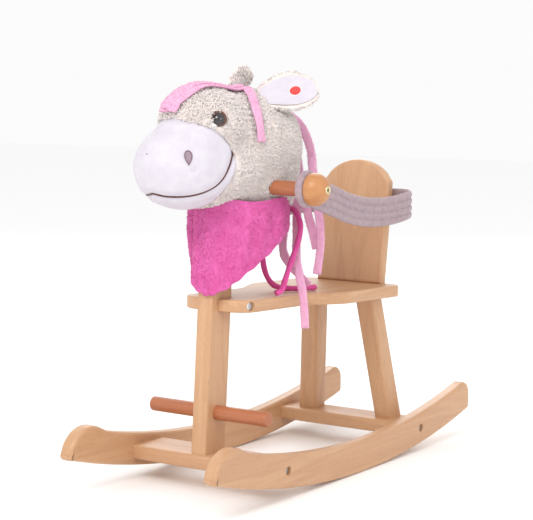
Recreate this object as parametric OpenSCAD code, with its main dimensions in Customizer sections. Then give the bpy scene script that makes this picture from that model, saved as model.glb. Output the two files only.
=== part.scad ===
// Rocking horse for a toddler: a beech frame on two rockers, with a seat, a backrest,
// a footrest, a handle and a stuffed horse head on the front post.
// The horse faces -Y, +X is its left side, and the floor is z = 0.

/* [Rockers] */
// Width over the outer faces of both rockers
overall_w = 280; // [240:1:340]
// Length of a rocker, end to end
rocker_len = 744; // [640:1:880]
// Thickness of a rocker board
rocker_t = 22; // [18:1:28]
// Radius of the curve that a rocker rolls on
rocker_r = 1396; // [1150:1:1700]
// Height of a rocker board, square to its curve
rocker_h = 50; // [42:1:60]
// How far behind the middle the rockers touch the floor
rest_y = 23; // [0:1:40]
// Radius of a rocker's rounded nose
nose_r = 48; // [42:1:54]
// How far the nose stands above the top edge behind it
nose_hump = 4; // [0:0.5:8]
// Radius of the upper corner at a rocker's back end
tail_r = 20; // [12:1:26]

/* [Crossbars] */
// Thickness of both crossbars
bar_t = 22; // [18:1:26]
// Width of the front crossbar, front to back
front_bar_w = 72; // [66:1:84]
// Middle of the front crossbar
front_bar_y = -191; // [-200:1:-185]
// Height of the front crossbar's middle
front_bar_z = 43; // [38:1:48]
// Width of the rear crossbar, front to back
rear_bar_w = 59; // [54:1:70]
// Middle of the rear crossbar
rear_bar_y = 202; // [196:1:206]
// Height of the rear crossbar's middle
rear_bar_z = 38; // [35:1:44]

/* [Post and legs] */
// Width of the front post, side to side
post_w = 27; // [22:1:32]
// Depth of the front post, front to back
post_d = 51; // [44:1:58]
// Middle of the post's foot
post_y = -197; // [-200:1:-194]
// How far the post leans back, in degrees
post_lean = 4; // [3:0.1:5.5]
// Height of the post's top
post_top = 490; // [470:1:510]
// Width of a rear leg, side to side
leg_w = 32; // [26:1:38]
// Depth of a rear leg, front to back
leg_d = 36; // [30:1:44]
// How far a rear leg's foot is from the middle plane
leg_x = 75; // [66:1:84]
// How far a rear leg splays outwards, in degrees
leg_splay = 6.6; // [4:0.1:9]
// How far a rear leg rakes forwards to its top, in degrees
leg_rake = 8.4; // [5:0.1:10]

/* [Seat and backrest] */
// Length of the seat board
seat_len = 411; // [400:1:440]
// Thickness of the seat board
seat_t = 19; // [16:1:24]
// Front end of the seat
seat_front_y = -191.5; // [-193:0.5:-188]
// Height of the seat's top at its front end
seat_z = 283.6; // [260:0.1:310]
// How far the seat falls to the back, in degrees
seat_slope = 2; // [0:0.1:4]
// Half the width of the seat's front end
seat_nose_hw = 25; // [21:1:30]
// Half the width of the seat at its waist
seat_waist_hw = 60; // [52:1:70]
// Half the width of the seat at its widest
seat_hip_hw = 93; // [84:1:110]
// Width of the backrest
back_w = 125; // [110:1:150]
// Thickness of the backrest
back_t = 18; // [15:1:22]
// Height of the backrest above the seat, along its face, up to its shoulders
back_shoulder = 172; // [150:1:190]
// Rise of the backrest's rounded top above its shoulders
back_crown = 33; // [25:1:40]
// Front face of the backrest's foot
back_y = 197; // [188:1:198]
// How far the backrest leans back, in degrees
back_lean = 7.5; // [4:0.1:8]

/* [Dowels and handle] */
// Diameter of the footrest dowel
foot_dowel_d = 22; // [18:1:26]
// Length of the footrest dowel
foot_dowel_len = 212; // [170:1:240]
// Height of the footrest dowel
foot_dowel_z = 114; // [95:1:140]
// Diameter of the handle dowel
grip_d = 22; // [18:1:25]
// Middle of the handle dowel, front to back
grip_y = -133; // [-138:1:-128]
// Height of the handle dowel
grip_z = 447; // [440:1:452]
// Diameter of a handle knob
knob_d = 48; // [42:1:54]
// Flat inner face of a knob, from the middle plane
knob_x = 137; // [130:1:155]
// Length of a knob
knob_len = 30; // [27:1:34]
// How deep the dowel goes into a knob
knob_socket = 16; // [12:1:18]

/* [Fasteners] */
// Diameter of the frame bolts
bolt_d = 6; // [5:0.5:8]
// Diameter of a bolt's head
bolt_head_d = 12; // [11:0.5:14]
// Depth that a bolt's head is sunk
bolt_sunk = 4; // [2:0.5:6]
// Diameter of a barrel nut
nut_d = 10; // [8:0.5:12]
// Diameter of the wood screws
screw_d = 4; // [3:0.5:5]

/* [Head] */
// How far the head is turned to the horse's right, in degrees
head_turn = 8; // [0:1:14]
// Radius of the skull
skull_r = 78; // [72:1:82]
// Length of the skull behind its widest place
skull_back = 95; // [88:1:100]
// Radius of the brow
brow_r = 68; // [62:1:72]
// Radius of the muzzle
muzzle_r = 64; // [56:1:68]
// Half the length of the muzzle
muzzle_hl = 78; // [74:1:90]
// Thickness of the plush skin
skin_t = 3; // [2:0.5:5]
// Diameter of an eye
eye_d = 18; // [14:1:22]
// Diameter of the press button in the left ear
button_d = 17; // [14:1:20]
// How far the ear button travels
button_travel = 1.5; // [1:0.1:2]

/* [Strap and scarf] */
// Height of the strap's band
strap_w = 46; // [38:1:50]
// Thickness of the strap's band
strap_t = 7; // [5:0.5:9]
// Radius of the strap's rounded end
strap_end_r = 27; // [23:1:29]
// Thickness of the doubled strap end
strap_end_t = 12; // [10:0.5:12.5]
// Diameter of a scarf tie
tie_d = 9; // [7:0.5:10]
// Width of a mane strip
strip_w = 13; // [9:1:16]
// Thickness of a mane strip
strip_t = 4; // [3:0.5:5]

/* [Clearances] */
// Gap round a bolt or dowel in its hole
hole_gap = 0.1; // [0.05:0.05:0.3]
// Gap between soft pieces and their neighbours
soft_gap = 0.4; // [0.3:0.1:0.8]

/* [Hidden] */
$fn = 64;
soft_fn = 30;

big = 2000;
beech = [0.80, 0.63, 0.48];
dowel_red = [0.66, 0.40, 0.26];
knob_tan = [0.78, 0.52, 0.31];
steel = [0.72, 0.72, 0.74];
plush = [0.82, 0.76, 0.76];
velour = [0.90, 0.88, 0.94];
mane_pink = [0.88, 0.70, 0.86];
scarf_pink = [0.86, 0.42, 0.70];
strap_grey = [0.67, 0.60, 0.66];

// Height of a rocker's lower and upper edge above the floor at a place along it.
function rocker_low(y) = rocker_r - sqrt(pow(rocker_r, 2) - pow(y - rest_y, 2));
function rocker_high(y) = rocker_r - sqrt(pow(rocker_r - rocker_h, 2) - pow(y - rest_y, 2));

inner_x = overall_w / 2 - rocker_t;
front_bar_top = front_bar_z + bar_t / 2;
rear_bar_top = rear_bar_z + bar_t / 2;
// Middle of the post at a height, and the top and middle of the seat at a place along the horse.
function post_mid(z) = post_y + (z - front_bar_top) * tan(post_lean);
function seat_top(y) = seat_z - (y - seat_front_y) * tan(seat_slope);
bolt_back = 12;
cross_bolt_z = seat_top(post_mid(seat_z) + bolt_back) - seat_t / 2;
cross_bolt_y = post_mid(cross_bolt_z) + bolt_back;
leg_y = rear_bar_y + 4;
bolt_lane = [[front_bar_y, front_bar_z], [rear_bar_y, rear_bar_z]];
nut_inset = 30;
grip_swell = 0.4;
bolt_len = 42;

// A unit vector, and the point where a, b and c meet a space's own three directions.
function unit(v) = v / norm(v);

// One ring of a sweep: the outline, laid square to the path at point i, with its first
// direction as near to `side` as the path allows.
function path_dir(p, i) = unit(p[min(i + 1, len(p) - 1)] - p[max(i - 1, 0)]);
function flat_dir(side, dir) = unit(side - (side * dir) * dir);
function ring(p, i, outline, side) =
    let (d = path_dir(p, i), a = flat_dir(side, d), b = cross(d, a))
    [for (q = outline) p[i] + q[0] * a + q[1] * b];

// A closed solid of one outline carried along a path.
module sweep(path, outline, side) {
    n = len(outline);
    m = len(path);
    pts = [for (i = [0:m - 1]) each ring(path, i, outline, side)];
    walls = [for (i = [0:m - 2]) for (j = [0:n - 1])
        let (k = (j + 1) % n) each [[i * n + j, i * n + k, (i + 1) * n + k],
                                    [i * n + j, (i + 1) * n + k, (i + 1) * n + j]]];
    ends = [[for (j = [n - 1:-1:0]) j], [for (j = [0:n - 1]) (m - 1) * n + j]];
    polyhedron(points = pts, faces = concat([for (w = walls) [w[2], w[1], w[0]]],
        [for (e = ends) [for (j = [len(e) - 1:-1:0]) e[j]]]));
}

function round_outline(r, n) = [for (j = [0:n - 1]) [r * cos(360 * j / n), r * sin(360 * j / n)]];
function flat_outline(w, t) = [[-w / 2, -t / 2], [w / 2, -t / 2], [w / 2, t / 2], [-w / 2, t / 2]];
function catmull(a, b, c, d, t) =
    0.5 * (2 * b + (c - a) * t + (2 * a - 5 * b + 4 * c - d) * t * t
           + (3 * b - a - 3 * c + d) * t * t * t);
// A smooth path through hand-set points, with `n` steps between each two.
function smooth(p, n) = [for (i = [0:len(p) - 2]) for (s = [0:n - 1 + (i == len(p) - 2 ? 1 : 0)])
    catmull(p[max(i - 1, 0)], p[i], p[i + 1], p[min(i + 2, len(p) - 1)], s / n)];

// ---- Wooden frame ----

// A rocker's outline, with y across and height up.
module rocker_outline() {
    nose_y = -rocker_len / 2 + nose_r;
    tail_y = rocker_len / 2 - tail_r;
    intersection() {
        translate([rest_y, rocker_r]) circle(r = rocker_r, $fn = 360);
        union() {
            difference() {
                translate([nose_y, -10]) square([tail_y - nose_y, 200]);
                translate([rest_y, rocker_r]) circle(r = rocker_r - rocker_h, $fn = 360);
            }
            translate([nose_y, rocker_high(nose_y) + nose_hump - nose_r]) circle(r = nose_r);
            translate([tail_y, rocker_high(tail_y) - tail_r]) circle(r = tail_r);
            translate([tail_y - 1, 0]) square([tail_r + 1, rocker_high(tail_y) - tail_r]);
        }
    }
}

module rocker(side) {
    difference() {
        translate([side > 0 ? inner_x : -inner_x - rocker_t, 0, 0])
            rotate([90, 0, 90]) linear_extrude(rocker_t) rocker_outline();
        for (q = bolt_lane) translate([0, q[0], q[1]]) rotate([0, side * 90, 0]) {
            cylinder(d = bolt_d + 2 * hole_gap, h = overall_w);
            translate([0, 0, overall_w / 2 - bolt_sunk - bolt_d]) cylinder(d = bolt_head_d + 1, h = 40);
        }
    }
}
module rocker_left() color(beech) rocker(1);
module rocker_right() color(beech) rocker(-1);

// A crossbar between the rockers, drilled from its ends for the bolts and from below for the nuts.
module crossbar(y, z, w) {
    difference() {
        translate([-inner_x, y - w / 2, z - bar_t / 2]) cube([2 * inner_x, w, bar_t]);
        for (s = [-1, 1]) {
            translate([s * (inner_x + 1), y, z]) rotate([0, -s * 90, 0])
                cylinder(d = bolt_d + 2 * hole_gap, h = nut_inset + 12);
            translate([s * (inner_x - nut_inset), y, z - bar_t / 2 - 1])
                cylinder(d = nut_d + 2 * hole_gap, h = bar_t - 2);
        }
    }
}
module front_crossbar() color(beech) difference() {
    crossbar(front_bar_y, front_bar_z, front_bar_w);
    post_screw_lane(screw_d + 2 * hole_gap);
}
module rear_crossbar() color(beech) difference() {
    crossbar(rear_bar_y, rear_bar_z, rear_bar_w);
    leg_screw_lane(screw_d + 2 * hole_gap);
}

module post_bar(gap) {
    translate([0, post_y, front_bar_top]) rotate([-post_lean, 0, 0])
        translate([-post_w / 2 - gap, -post_d / 2 * cos(post_lean) - gap, -30])
            cube([post_w + 2 * gap, post_d * cos(post_lean) + 2 * gap, post_top]);
}
module front_post() color(beech) difference() {
    intersection() {
        post_bar(0);
        translate([-50, -big / 2, front_bar_top]) cube([100, big, post_top - front_bar_top]);
    }
    dowel_lane(post_mid(foot_dowel_z), foot_dowel_z, foot_dowel_d + 2 * grip_swell + 2 * hole_gap);
    dowel_lane(cross_bolt_y, cross_bolt_z, bolt_d + 2 * hole_gap);
    post_screw_lane(screw_d + 2 * hole_gap);
    block_screw_lane(screw_d + 2 * hole_gap);
}
// The block behind the post's top carries the handle inside the head.
block_w = 40;
block_d = 44;
block_low = 412;
block_high = 486;
module head_block_room(g) difference() {
    translate([-block_w / 2 - g, -300, block_low - g])
        cube([block_w + 2 * g, 300 + grip_y + block_d / 2 + g, block_high - block_low + 2 * g]);
    translate([0, post_y, front_bar_top]) rotate([-post_lean, 0, 0])
        translate([-100, -300, -30]) cube([200, 300 + post_d / 2 * cos(post_lean), 700]);
}
module block_screw_lane(d) for (z = [424, 474]) translate([0, grip_y + block_d / 2 - 3, z]) rotate([90, 0, 0]) {
    cylinder(d = d, h = 58);
    translate([0, 0, -5]) cylinder(d = 2 * d, h = 5);
}
module head_block() color(beech) difference() {
    head_block_room(0);
    dowel_lane(grip_y, grip_z, grip_d + 2 * hole_gap);
    block_screw_lane(screw_d + 2 * hole_gap);
}
module head_block_screws() color(steel) for (z = [424, 474])
    translate([0, grip_y + block_d / 2 - 3, z]) rotate([90, 0, 0]) wood_screw(screw_d, 57);

// A long round hole or bar across the horse.
module dowel_lane(y, z, d, len = 400) translate([-len / 2, y, z]) rotate([0, 90, 0]) cylinder(d = d, h = len);

// Half the width of the seat at a distance behind its front end: a quarter ellipse out to the
// waist, a smooth step to the hip, and a rounded back corner.
nose_run = 32;
hip_start = 150;
hip_run = 100;
corner_r = 22;
function step(t) = let (u = max(0, min(1, t))) u * u * (3 - 2 * u);
function seat_hw(t) =
    seat_nose_hw + (seat_waist_hw - seat_nose_hw) * sqrt(1 - pow(1 - min(t, nose_run) / nose_run, 2))
    + (seat_hip_hw - seat_waist_hw) * step((t - hip_start) / hip_run)
    - corner_r * (1 - sqrt(1 - pow(max(0, t - seat_len + corner_r) / corner_r, 2)));
function seat_stations() = concat([for (i = [0:7]) nose_run * pow(i / 8, 2)],
    [nose_run, 110], [for (i = [0:8]) hip_start + hip_run * i / 8],
    [330], [for (i = [0:6]) seat_len - corner_r * cos(15 * i)]);
module seat_place() translate([0, seat_front_y, seat_z]) rotate([-seat_slope, 0, 0]) children();
module seat_board() color(beech) difference() {
    seat_place() translate([0, 0, -seat_t]) linear_extrude(seat_t) polygon(concat(
        [for (t = seat_stations()) [seat_hw(t), t]],
        [for (i = [len(seat_stations()) - 1:-1:0]) [-seat_hw(seat_stations()[i]), seat_stations()[i]]]));
    post_bar(hole_gap);
    translate([-post_w / 2 - hole_gap, seat_front_y - 50, seat_z - 60])
        cube([post_w + 2 * hole_gap, 60, 100]);
    dowel_lane(cross_bolt_y, cross_bolt_z, bolt_d + 2 * hole_gap);
    for (s = [-1, 1]) translate([s * (cross_half - bolt_sunk - bolt_d), cross_bolt_y, cross_bolt_z])
        rotate([0, s * 90, 0]) cylinder(d = bolt_head_d + 1, h = 60);
    leg_top_lane(leg_pin_d + 2 * hole_gap);
    back_screw_lane(screw_d + 2 * hole_gap);
}
cross_half = seat_hw(cross_bolt_y - seat_front_y);

// Backrest: straight sides up to the shoulders, then an arc over the top.
crown_r = (pow(back_w / 2, 2) + pow(back_crown, 2)) / (2 * back_crown);
module back_place() translate([0, back_y, seat_top(back_y)]) rotate([-back_lean, 0, 0]) children();
module backrest() color(beech) difference() {
    back_place() rotate([90, 0, 0]) translate([0, 0, -back_t]) linear_extrude(back_t) {
        translate([-back_w / 2, -20]) square([back_w, back_shoulder + 20]);
        intersection() {
            translate([0, back_shoulder + back_crown - crown_r]) circle(r = crown_r, $fn = 180);
            translate([-back_w / 2, 0]) square([back_w, 400]);
        }
    }
    seat_place() translate([-200, 0, -100]) cube([400, 600, 100]);
    back_screw_lane(screw_d + 2 * hole_gap);
}

// A rear leg stands on the rear crossbar and ends under the seat.
module leg_bar(side) translate([side * leg_x, leg_y, rear_bar_top])
    rotate([leg_rake, 0, 0]) rotate([0, -side * leg_splay, 0])
        translate([-leg_w / 2, -leg_d / 2, -30]) cube([leg_w, leg_d, 400]);
module rear_leg(side) difference() {
    leg_bar(side);
    translate([-200, 0, -200]) cube([400, 400, 200 + rear_bar_top]);
    seat_place() translate([-200, 0, -seat_t]) cube([400, 600, 300]);
    leg_screw_lane(screw_d + 2 * hole_gap);
    leg_top_lane(leg_pin_d + 2 * hole_gap);
}
module rear_leg_left() color(beech) rear_leg(1);
module rear_leg_right() color(beech) rear_leg(-1);

// The footrest has a slightly thicker middle, which grips inside the post.
module footrest_dowel() color(dowel_red) {
    dowel_lane(post_mid(foot_dowel_z), foot_dowel_z, foot_dowel_d, foot_dowel_len);
    dowel_lane(post_mid(foot_dowel_z), foot_dowel_z, foot_dowel_d + 2 * grip_swell, post_w);
}
module handle_dowel() color(dowel_red) difference() {
    dowel_lane(grip_y, grip_z, grip_d, 2 * (knob_x + knob_socket));
    knob_screw_lane(screw_d + 2 * hole_gap);
}

// A knob is a ball, cut flat on its inner side, with a socket for the dowel, a seat for the
// ferrule and a hole for the screw, turned about the handle's line.
module knob(side) translate([side * (knob_x + knob_len - knob_d / 2), grip_y, grip_z])
    rotate([0, side * 90, 0]) rotate_extrude() difference() {
        circle(d = knob_d);
        translate([-100, -100]) square([100, 200]);
        translate([0, -100 + knob_d / 2 - knob_len]) square([100, 100]);
        translate([0, knob_d / 2 - ferrule_t - 0.5]) square([ferrule_d / 2 + hole_gap, 20]);
        square([screw_d / 2 + hole_gap, 100]);
        translate([0, -60]) square([grip_d / 2 + hole_gap, 60 + knob_d / 2 - knob_len + knob_socket + hole_gap]);
    }
module handle_knob_left() color(knob_tan) knob(1);
module handle_knob_right() color(knob_tan) knob(-1);

// ---- Fasteners ----
ferrule_d = 10;
ferrule_t = 3;
screw_head_d = 6;
leg_pin_d = 8;
module knob_ferrules() color([0.80, 0.74, 0.56]) for (s = [-1, 1])
    translate([s * (knob_x + knob_len - 0.4), grip_y, grip_z]) rotate([0, -s * 90, 0])
        difference() {
            cylinder(d = ferrule_d, h = ferrule_t);
            translate([0, 0, -1]) cylinder(d = screw_head_d + 2 * hole_gap, h = ferrule_t + 2);
        }
module knob_screw_lane(d) for (s = [-1, 1])
    translate([s * (knob_x + knob_len - ferrule_t - 0.5), grip_y, grip_z]) rotate([0, -s * 90, 0])
        cylinder(d = d, h = 32);
module knob_screws() color(steel) for (s = [-1, 1])
    translate([s * (knob_x + knob_len - ferrule_t), grip_y, grip_z]) rotate([0, -s * 90, 0]) {
        cylinder(d = screw_d, h = 30);
        difference() {
            translate([0, 0, -1.6]) cylinder(d = screw_head_d, h = 1.6 + 0.5);
            translate([0, 0, -2]) cylinder(d = 2.4, h = 1.5, $fn = 6);
        }
    }
// A bolt along +Z from its head's seat, with a hexagon socket.
module bolt(len) {
    difference() {
        cylinder(d = bolt_head_d, h = bolt_d);
        translate([0, 0, bolt_d - 3]) cylinder(d = bolt_d * 0.9, h = 4, $fn = 6);
    }
    translate([0, 0, -len]) cylinder(d = bolt_d, h = len + 1);
}
module rocker_bolts() color(steel) for (s = [-1, 1]) for (q = bolt_lane)
    translate([s * (overall_w / 2 - bolt_sunk - bolt_d), q[0], q[1]]) rotate([0, s * 90, 0]) bolt(bolt_len);
module rocker_barrel_nuts() color(steel) for (s = [-1, 1]) for (q = bolt_lane) difference() {
    translate([s * (inner_x - nut_inset), q[0], q[1] - bar_t / 2 + 1]) cylinder(d = nut_d, h = bar_t - 5);
    dowel_lane(q[0], q[1], bolt_d + 2 * hole_gap);
}
module seat_cross_bolt() color(steel)
    translate([cross_half - bolt_sunk - bolt_d, cross_bolt_y, cross_bolt_z])
        rotate([0, 90, 0]) bolt(2 * (cross_half - bolt_sunk - bolt_d) - 1);
module seat_cross_nut() color(steel) difference() {
    translate([-cross_half + bolt_sunk + bolt_d, cross_bolt_y, cross_bolt_z]) rotate([0, -90, 0])
        bolt(0);
    dowel_lane(cross_bolt_y, cross_bolt_z, bolt_d, 2 * (cross_half - bolt_sunk - bolt_d) + 1);
}
post_screw_len = 60;
module post_screw_lane(d) for (dy = [-12, 12])
    translate([0, post_y + dy, front_bar_z - bar_t / 2 + 2]) {
        cylinder(d = d, h = post_screw_len);
        translate([0, 0, -5]) cylinder(d = 2 * d, h = 5);
    }
module wood_screw(d, len) {
    cylinder(d = d, h = len);
    difference() {
        translate([0, 0, -1.5]) cylinder(d = 2 * d - 0.4, h = 1.5);
        translate([0, 0, -2]) cylinder(d = d * 0.8, h = 1.2, $fn = 6);
    }
}
module post_foot_screws() color(steel) for (dy = [-12, 12])
    translate([0, post_y + dy, front_bar_z - bar_t / 2 + 2]) wood_screw(screw_d, post_screw_len - 1);
leg_screw_len = 55;
module leg_screw_lane(d) for (s = [-1, 1]) translate([s * leg_x, leg_y, rear_bar_z - bar_t / 2 + 2]) {
    cylinder(d = d, h = leg_screw_len);
    translate([0, 0, -5]) cylinder(d = 2 * d, h = 5);
}
module leg_foot_screws() color(steel) for (s = [-1, 1])
    translate([s * leg_x, leg_y, rear_bar_z - bar_t / 2 + 2]) wood_screw(screw_d, leg_screw_len - 1);
// Pins that join the legs' tops to the seat, square to the seat.
leg_top_y = leg_y - (seat_z - rear_bar_top - seat_t) * tan(leg_rake);
leg_top_x = leg_x - (seat_z - rear_bar_top - seat_t) * tan(leg_splay);
module leg_top_lane(d, short = 0) for (s = [-1, 1]) for (dy = [-8, 8]) seat_place()
    translate([s * leg_top_x, leg_top_y + dy + 4 - seat_front_y, -seat_t - 16 + short])
        cylinder(d = d, h = 28 - 2 * short);
module leg_top_dowels() color(dowel_red) leg_top_lane(leg_pin_d, 0.5);
module back_screw_lane(d) for (x = [-36, 0, 36]) back_place()
    translate([x, back_t / 2, -seat_t - 4]) {
        cylinder(d = d, h = 62);
        cylinder(d = 2 * d, h = 6.5);
    }
module backrest_screws() color(steel) for (x = [-36, 0, 36]) back_place()
    translate([x, back_t / 2, -seat_t + 2.5]) wood_screw(screw_d, 54);

// ---- Head ----
head_axis_y = -158;
skull_y = -106;
brow_y = -205;
brow_front = 80;
skull_z = 514;
muzzle_y = -250;
muzzle_z = 485;
neck_c = [0, -120];
neck_r = 60;
neck_low = 408;
module head_place() translate([0, head_axis_y, 0]) rotate([0, 0, -head_turn]) translate([0, -head_axis_y, 0])
    children();
// Quarter of an ellipse: a fraction of its radius at a fraction of its length.
function dome(f) = sqrt(max(0, 1 - f * f));
// Radius of the skull and of the muzzle at a place along the head, grown all round by g.
function skull_at(y, g) =
    y > skull_y ? (skull_r + g) * dome((y - skull_y) / (skull_back + g))
    : y > brow_y ? g + brow_r + (skull_r - brow_r) * (y - brow_y) / (skull_y - brow_y)
    : (brow_r + g) * dome((brow_y - y) / (brow_front + g));
function muzzle_at(y, g) = (muzzle_r + g) * dome((y - muzzle_y) / (muzzle_hl + g));
// A solid of revolution about a level line along the horse: outline points are [radius, y].
module turned(z, outline) translate([0, 0, z]) rotate([-90, 0, 0]) rotate_extrude($fn = soft_fn)
    polygon(outline);
function arc_steps() = [90, 76, 62, 48, 34, 20, 8];
module skull_form(g) turned(skull_z, concat(
    [for (a = arc_steps()) let (y = brow_y - (brow_front + g) * sin(a)) [skull_at(y, g), y]],
    [for (a = arc_steps()) let (y = skull_y + (skull_back + g) * sin(98 - a)) [skull_at(y, g), y]]));
module muzzle_form(g) turned(muzzle_z, concat(
    [for (a = arc_steps()) let (y = muzzle_y - (muzzle_hl + g) * sin(a)) [muzzle_at(y, g), y]],
    [for (a = arc_steps()) let (y = muzzle_y + (muzzle_hl + g) * sin(98 - a)) [muzzle_at(y, g), y]]));
module neck_form(g) translate([neck_c[0], neck_c[1], neck_low]) cylinder(r = neck_r + g, h = 60, $fn = 40);

// The sound box sits in the skull behind the post.
box_size = [56, 34, 44];
box_c = [0, -84, 522];
box_wall = 2;
module box_room(g) translate(box_c - box_size / 2 - [g, g, g]) cube(box_size + 2 * [g, g, g]);
module inside_parts() {
    post_bar(soft_gap);
    head_block_room(soft_gap);
    translate([-block_w / 2 - soft_gap, grip_y, neck_low - 5])
        cube([block_w + 2 * soft_gap, block_d / 2 + soft_gap, 10]);
    dowel_lane(grip_y, grip_z, grip_d + 2 * soft_gap, 2 * (knob_x - 16));
    head_place() {
        box_room(soft_gap);
        eye_sockets(soft_gap);
    }
}
module head_stuffing() color([0.95, 0.95, 0.93]) difference() {
    union() {
        head_place() {
            skull_form(0);
            muzzle_form(0);
        }
        neck_form(0);
    }
    inside_parts();
}
module head_fur_cover() color(plush) difference() {
    union() {
        head_place() skull_form(skin_t);
        neck_form(skin_t);
    }
    head_place() {
        skull_form(0);
        muzzle_form(0.3);
    }
    translate([0, 0, -1]) neck_form(0);
    inside_parts();
}
module muzzle_cover() color(velour) head_place() difference() {
    muzzle_form(skin_t);
    muzzle_form(0);
    skull_form(skin_t + 0.3);
    translate([-100, -216, 380]) cube([200, 100, 200]);
}

// A point on the skull or muzzle: a place along the head, and an angle up from its left side.
function on_skull(y, a, g) = [skull_at(y, g) * cos(a), y, skull_z + skull_at(y, g) * sin(a)];
function on_muzzle(y, a, g) = [muzzle_at(y, g) * cos(a), y, muzzle_z + muzzle_at(y, g) * sin(a)];
// Stand children on a surface point, with +Z along the way it faces.
module face_along(p, n) translate(p) rotate([0, acos(n[2]), atan2(n[1], n[0])]) children();

eye_y = -236;
eye_up = 33;
module at_eyes() for (s = [-1, 1]) {
    p = on_skull(eye_y, 90 - s * (90 - eye_up), skin_t);
    face_along(p, unit([s * cos(eye_up), -0.45, sin(eye_up)])) children();
}
eye_stem_d = 5;
module eye_sockets(g) at_eyes() {
    translate([0, 0, -1 - g]) cylinder(d = eye_d + 2 * g, h = 12);
    translate([0, 0, -12 - g]) cylinder(d = eye_stem_d + 2 * g, h = 14);
    translate([0, 0, -9 - g]) cylinder(d = eye_d + 2 * g, h = 2 + 2 * g);
}
module eyes() color([0.08, 0.06, 0.06]) head_place() at_eyes() {
    intersection() {
        translate([0, 0, -4]) sphere(d = eye_d * 1.12);
        translate([0, 0, -1]) cylinder(d = eye_d, h = 20);
    }
    translate([0, 0, -11]) cylinder(d = eye_stem_d, h = 11);
}
module eye_washers() color("white") head_place() at_eyes() difference() {
    translate([0, 0, -9]) cylinder(d = eye_d, h = 2);
    translate([0, 0, -10]) cylinder(d = eye_stem_d + 2 * hole_gap, h = 4);
}
nostril_y = -312;
module nostrils() color([0.68, 0.60, 0.64]) head_place() for (s = [-1, 1]) {
    p = on_muzzle(nostril_y, 90 - s * 70, skin_t);
    face_along(p, unit([s * 0.6, -0.8, 0.2])) translate([0, 0, 1.6]) cylinder(r = 7, h = 1.2, $fn = 24);
}
// The mouth line runs round the muzzle's lower front and turns up at the corners.
module mouth_stitching() color([0.36, 0.20, 0.16]) head_place()
    sweep([for (a = [-84:12:84]) let (y = muzzle_y - (muzzle_hl + skin_t + 1.2) * cos(a))
            [muzzle_at(y, skin_t + 1.2) * (a < 0 ? -1 : 1) * dome(0.42), y,
             muzzle_z - 0.42 * muzzle_at(y, skin_t + 1.2)]],
        round_outline(0.8, 6), [0, 0, 1]);

// An ear in its own frame: length along +X, width along Y, and its lining facing +Z.
ear_len = 94;
ear_w = 56;
ear_back_t = 6;
ear_lining_t = 3;
module ear_place(side) {
    if (side > 0) translate([36, -120, 582]) rotate([0, -9, 54]) rotate([32, 0, 0]) children();
    else translate([-36, -120, 580]) rotate([0, -14, 104]) rotate([-55, 0, 0]) children();
}
button_at = 52;
// Half the ear's width at a fraction of its length: full near the root, round at the tip.
function ear_hw(f, g) = (ear_w / 2 - g) * pow(sin(180 * pow(f, 0.9)), 0.6);
module ear_outline(g) {
    n = 14;
    polygon(concat([for (i = [0:n]) [-4 + g + (ear_len - 2 * g) * i / n, ear_hw(i / n, g)]],
        [for (i = [n - 1:-1:1]) [-4 + g + (ear_len - 2 * g) * i / n, -ear_hw(i / n, g)]]));
}
module button_room() translate([button_at, 0, -3]) cylinder(d = button_d + 2 * soft_gap, h = 20);
module ear(side) head_place() difference() {
    ear_place(side) difference() {
        translate([0, 0, -ear_back_t]) linear_extrude(ear_back_t) ear_outline(0);
        if (side > 0) button_room();
    }
    skull_form(skin_t + soft_gap);
}
module ear_lining(side) head_place() difference() {
    ear_place(side) difference() {
        linear_extrude(ear_lining_t) ear_outline(3);
        if (side > 0) button_room();
    }
    skull_form(skin_t + soft_gap);
}
module ear_left() color(plush) ear(1);
module ear_right() color(plush) ear(-1);
module ear_lining_left() color(velour) ear_lining(1);
module ear_lining_right() color(velour) ear_lining(-1);
module ear_switch_base() color([0.3, 0.3, 0.32]) head_place() ear_place(1)
    translate([button_at, 0, -3]) cylinder(d = button_d - 2, h = 2.4);
module ear_button() color([0.85, 0.3, 0.3]) head_place() ear_place(1)
    translate([button_at, 0, -0.4 + button_travel]) cylinder(d = button_d, h = 4.4);

// ---- Mane ----
// A fleece strip along hand-set points.
module strip(points, side, w = strip_w) sweep(smooth(points, 3), flat_outline(w, strip_t), side);
module forelock() color(mane_pink) head_place()
    strip([[0, -100, 604], [0, -140, 604], [0, -190, 597], [0, -235, 584], [0, -270, 568], [0, -296, 554]],
        [1, 0, 0], 34);
temple_path = [[42, -118, 600], [64, -124, 580], [80, -128, 550], [84, -132, 524]];
module temple_strips() color(mane_pink) head_place() for (s = [-1, 1])
    strip([for (p = temple_path) [s * p[0], p[1], p[2]]], [0, 1, 0]);
// The long strips behind the neck: four on each side that hang from the crest.
near_strips = [
    [[24, -17, 556], [45, -10, 532], [60, -12, 500], [64, -18, 466], [70, -22, 432], [76, -24, 400],
     [82, -26, 372], [84, -28, 348]],
    [[44, -27, 562], [66, -20, 540], [84, -18, 504], [88, -22, 466], [94, -26, 430], [102, -28, 396],
     [102, -30, 354], [92, -30, 310]],
    [[20, -19, 470], [20, -18, 430], [24, -22, 384], [30, -28, 340], [42, -28, 314], [52, -20, 296]],
    [[38, -19, 460], [42, -21, 420], [46, -34, 376], [56, -48, 334], [68, -58, 304], [78, -62, 276],
     [83, -62, 230]]];
module mane_strips() color(mane_pink) {
    for (p = near_strips) strip(p, [1, 0.6, 0]);
    for (i = [0:1]) strip([for (q = near_strips[i]) [-q[0], q[1], q[2]]], [-1, 0.6, 0]);
}

// ---- Scarf, ties and strap ----
scarf_tip = [8, -201, 294];
scarf_tip_r = 19;
scarf_top = 424;
scarf_lean = 24;
scarf_spread = 22;
scarf_t = 4;
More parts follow.
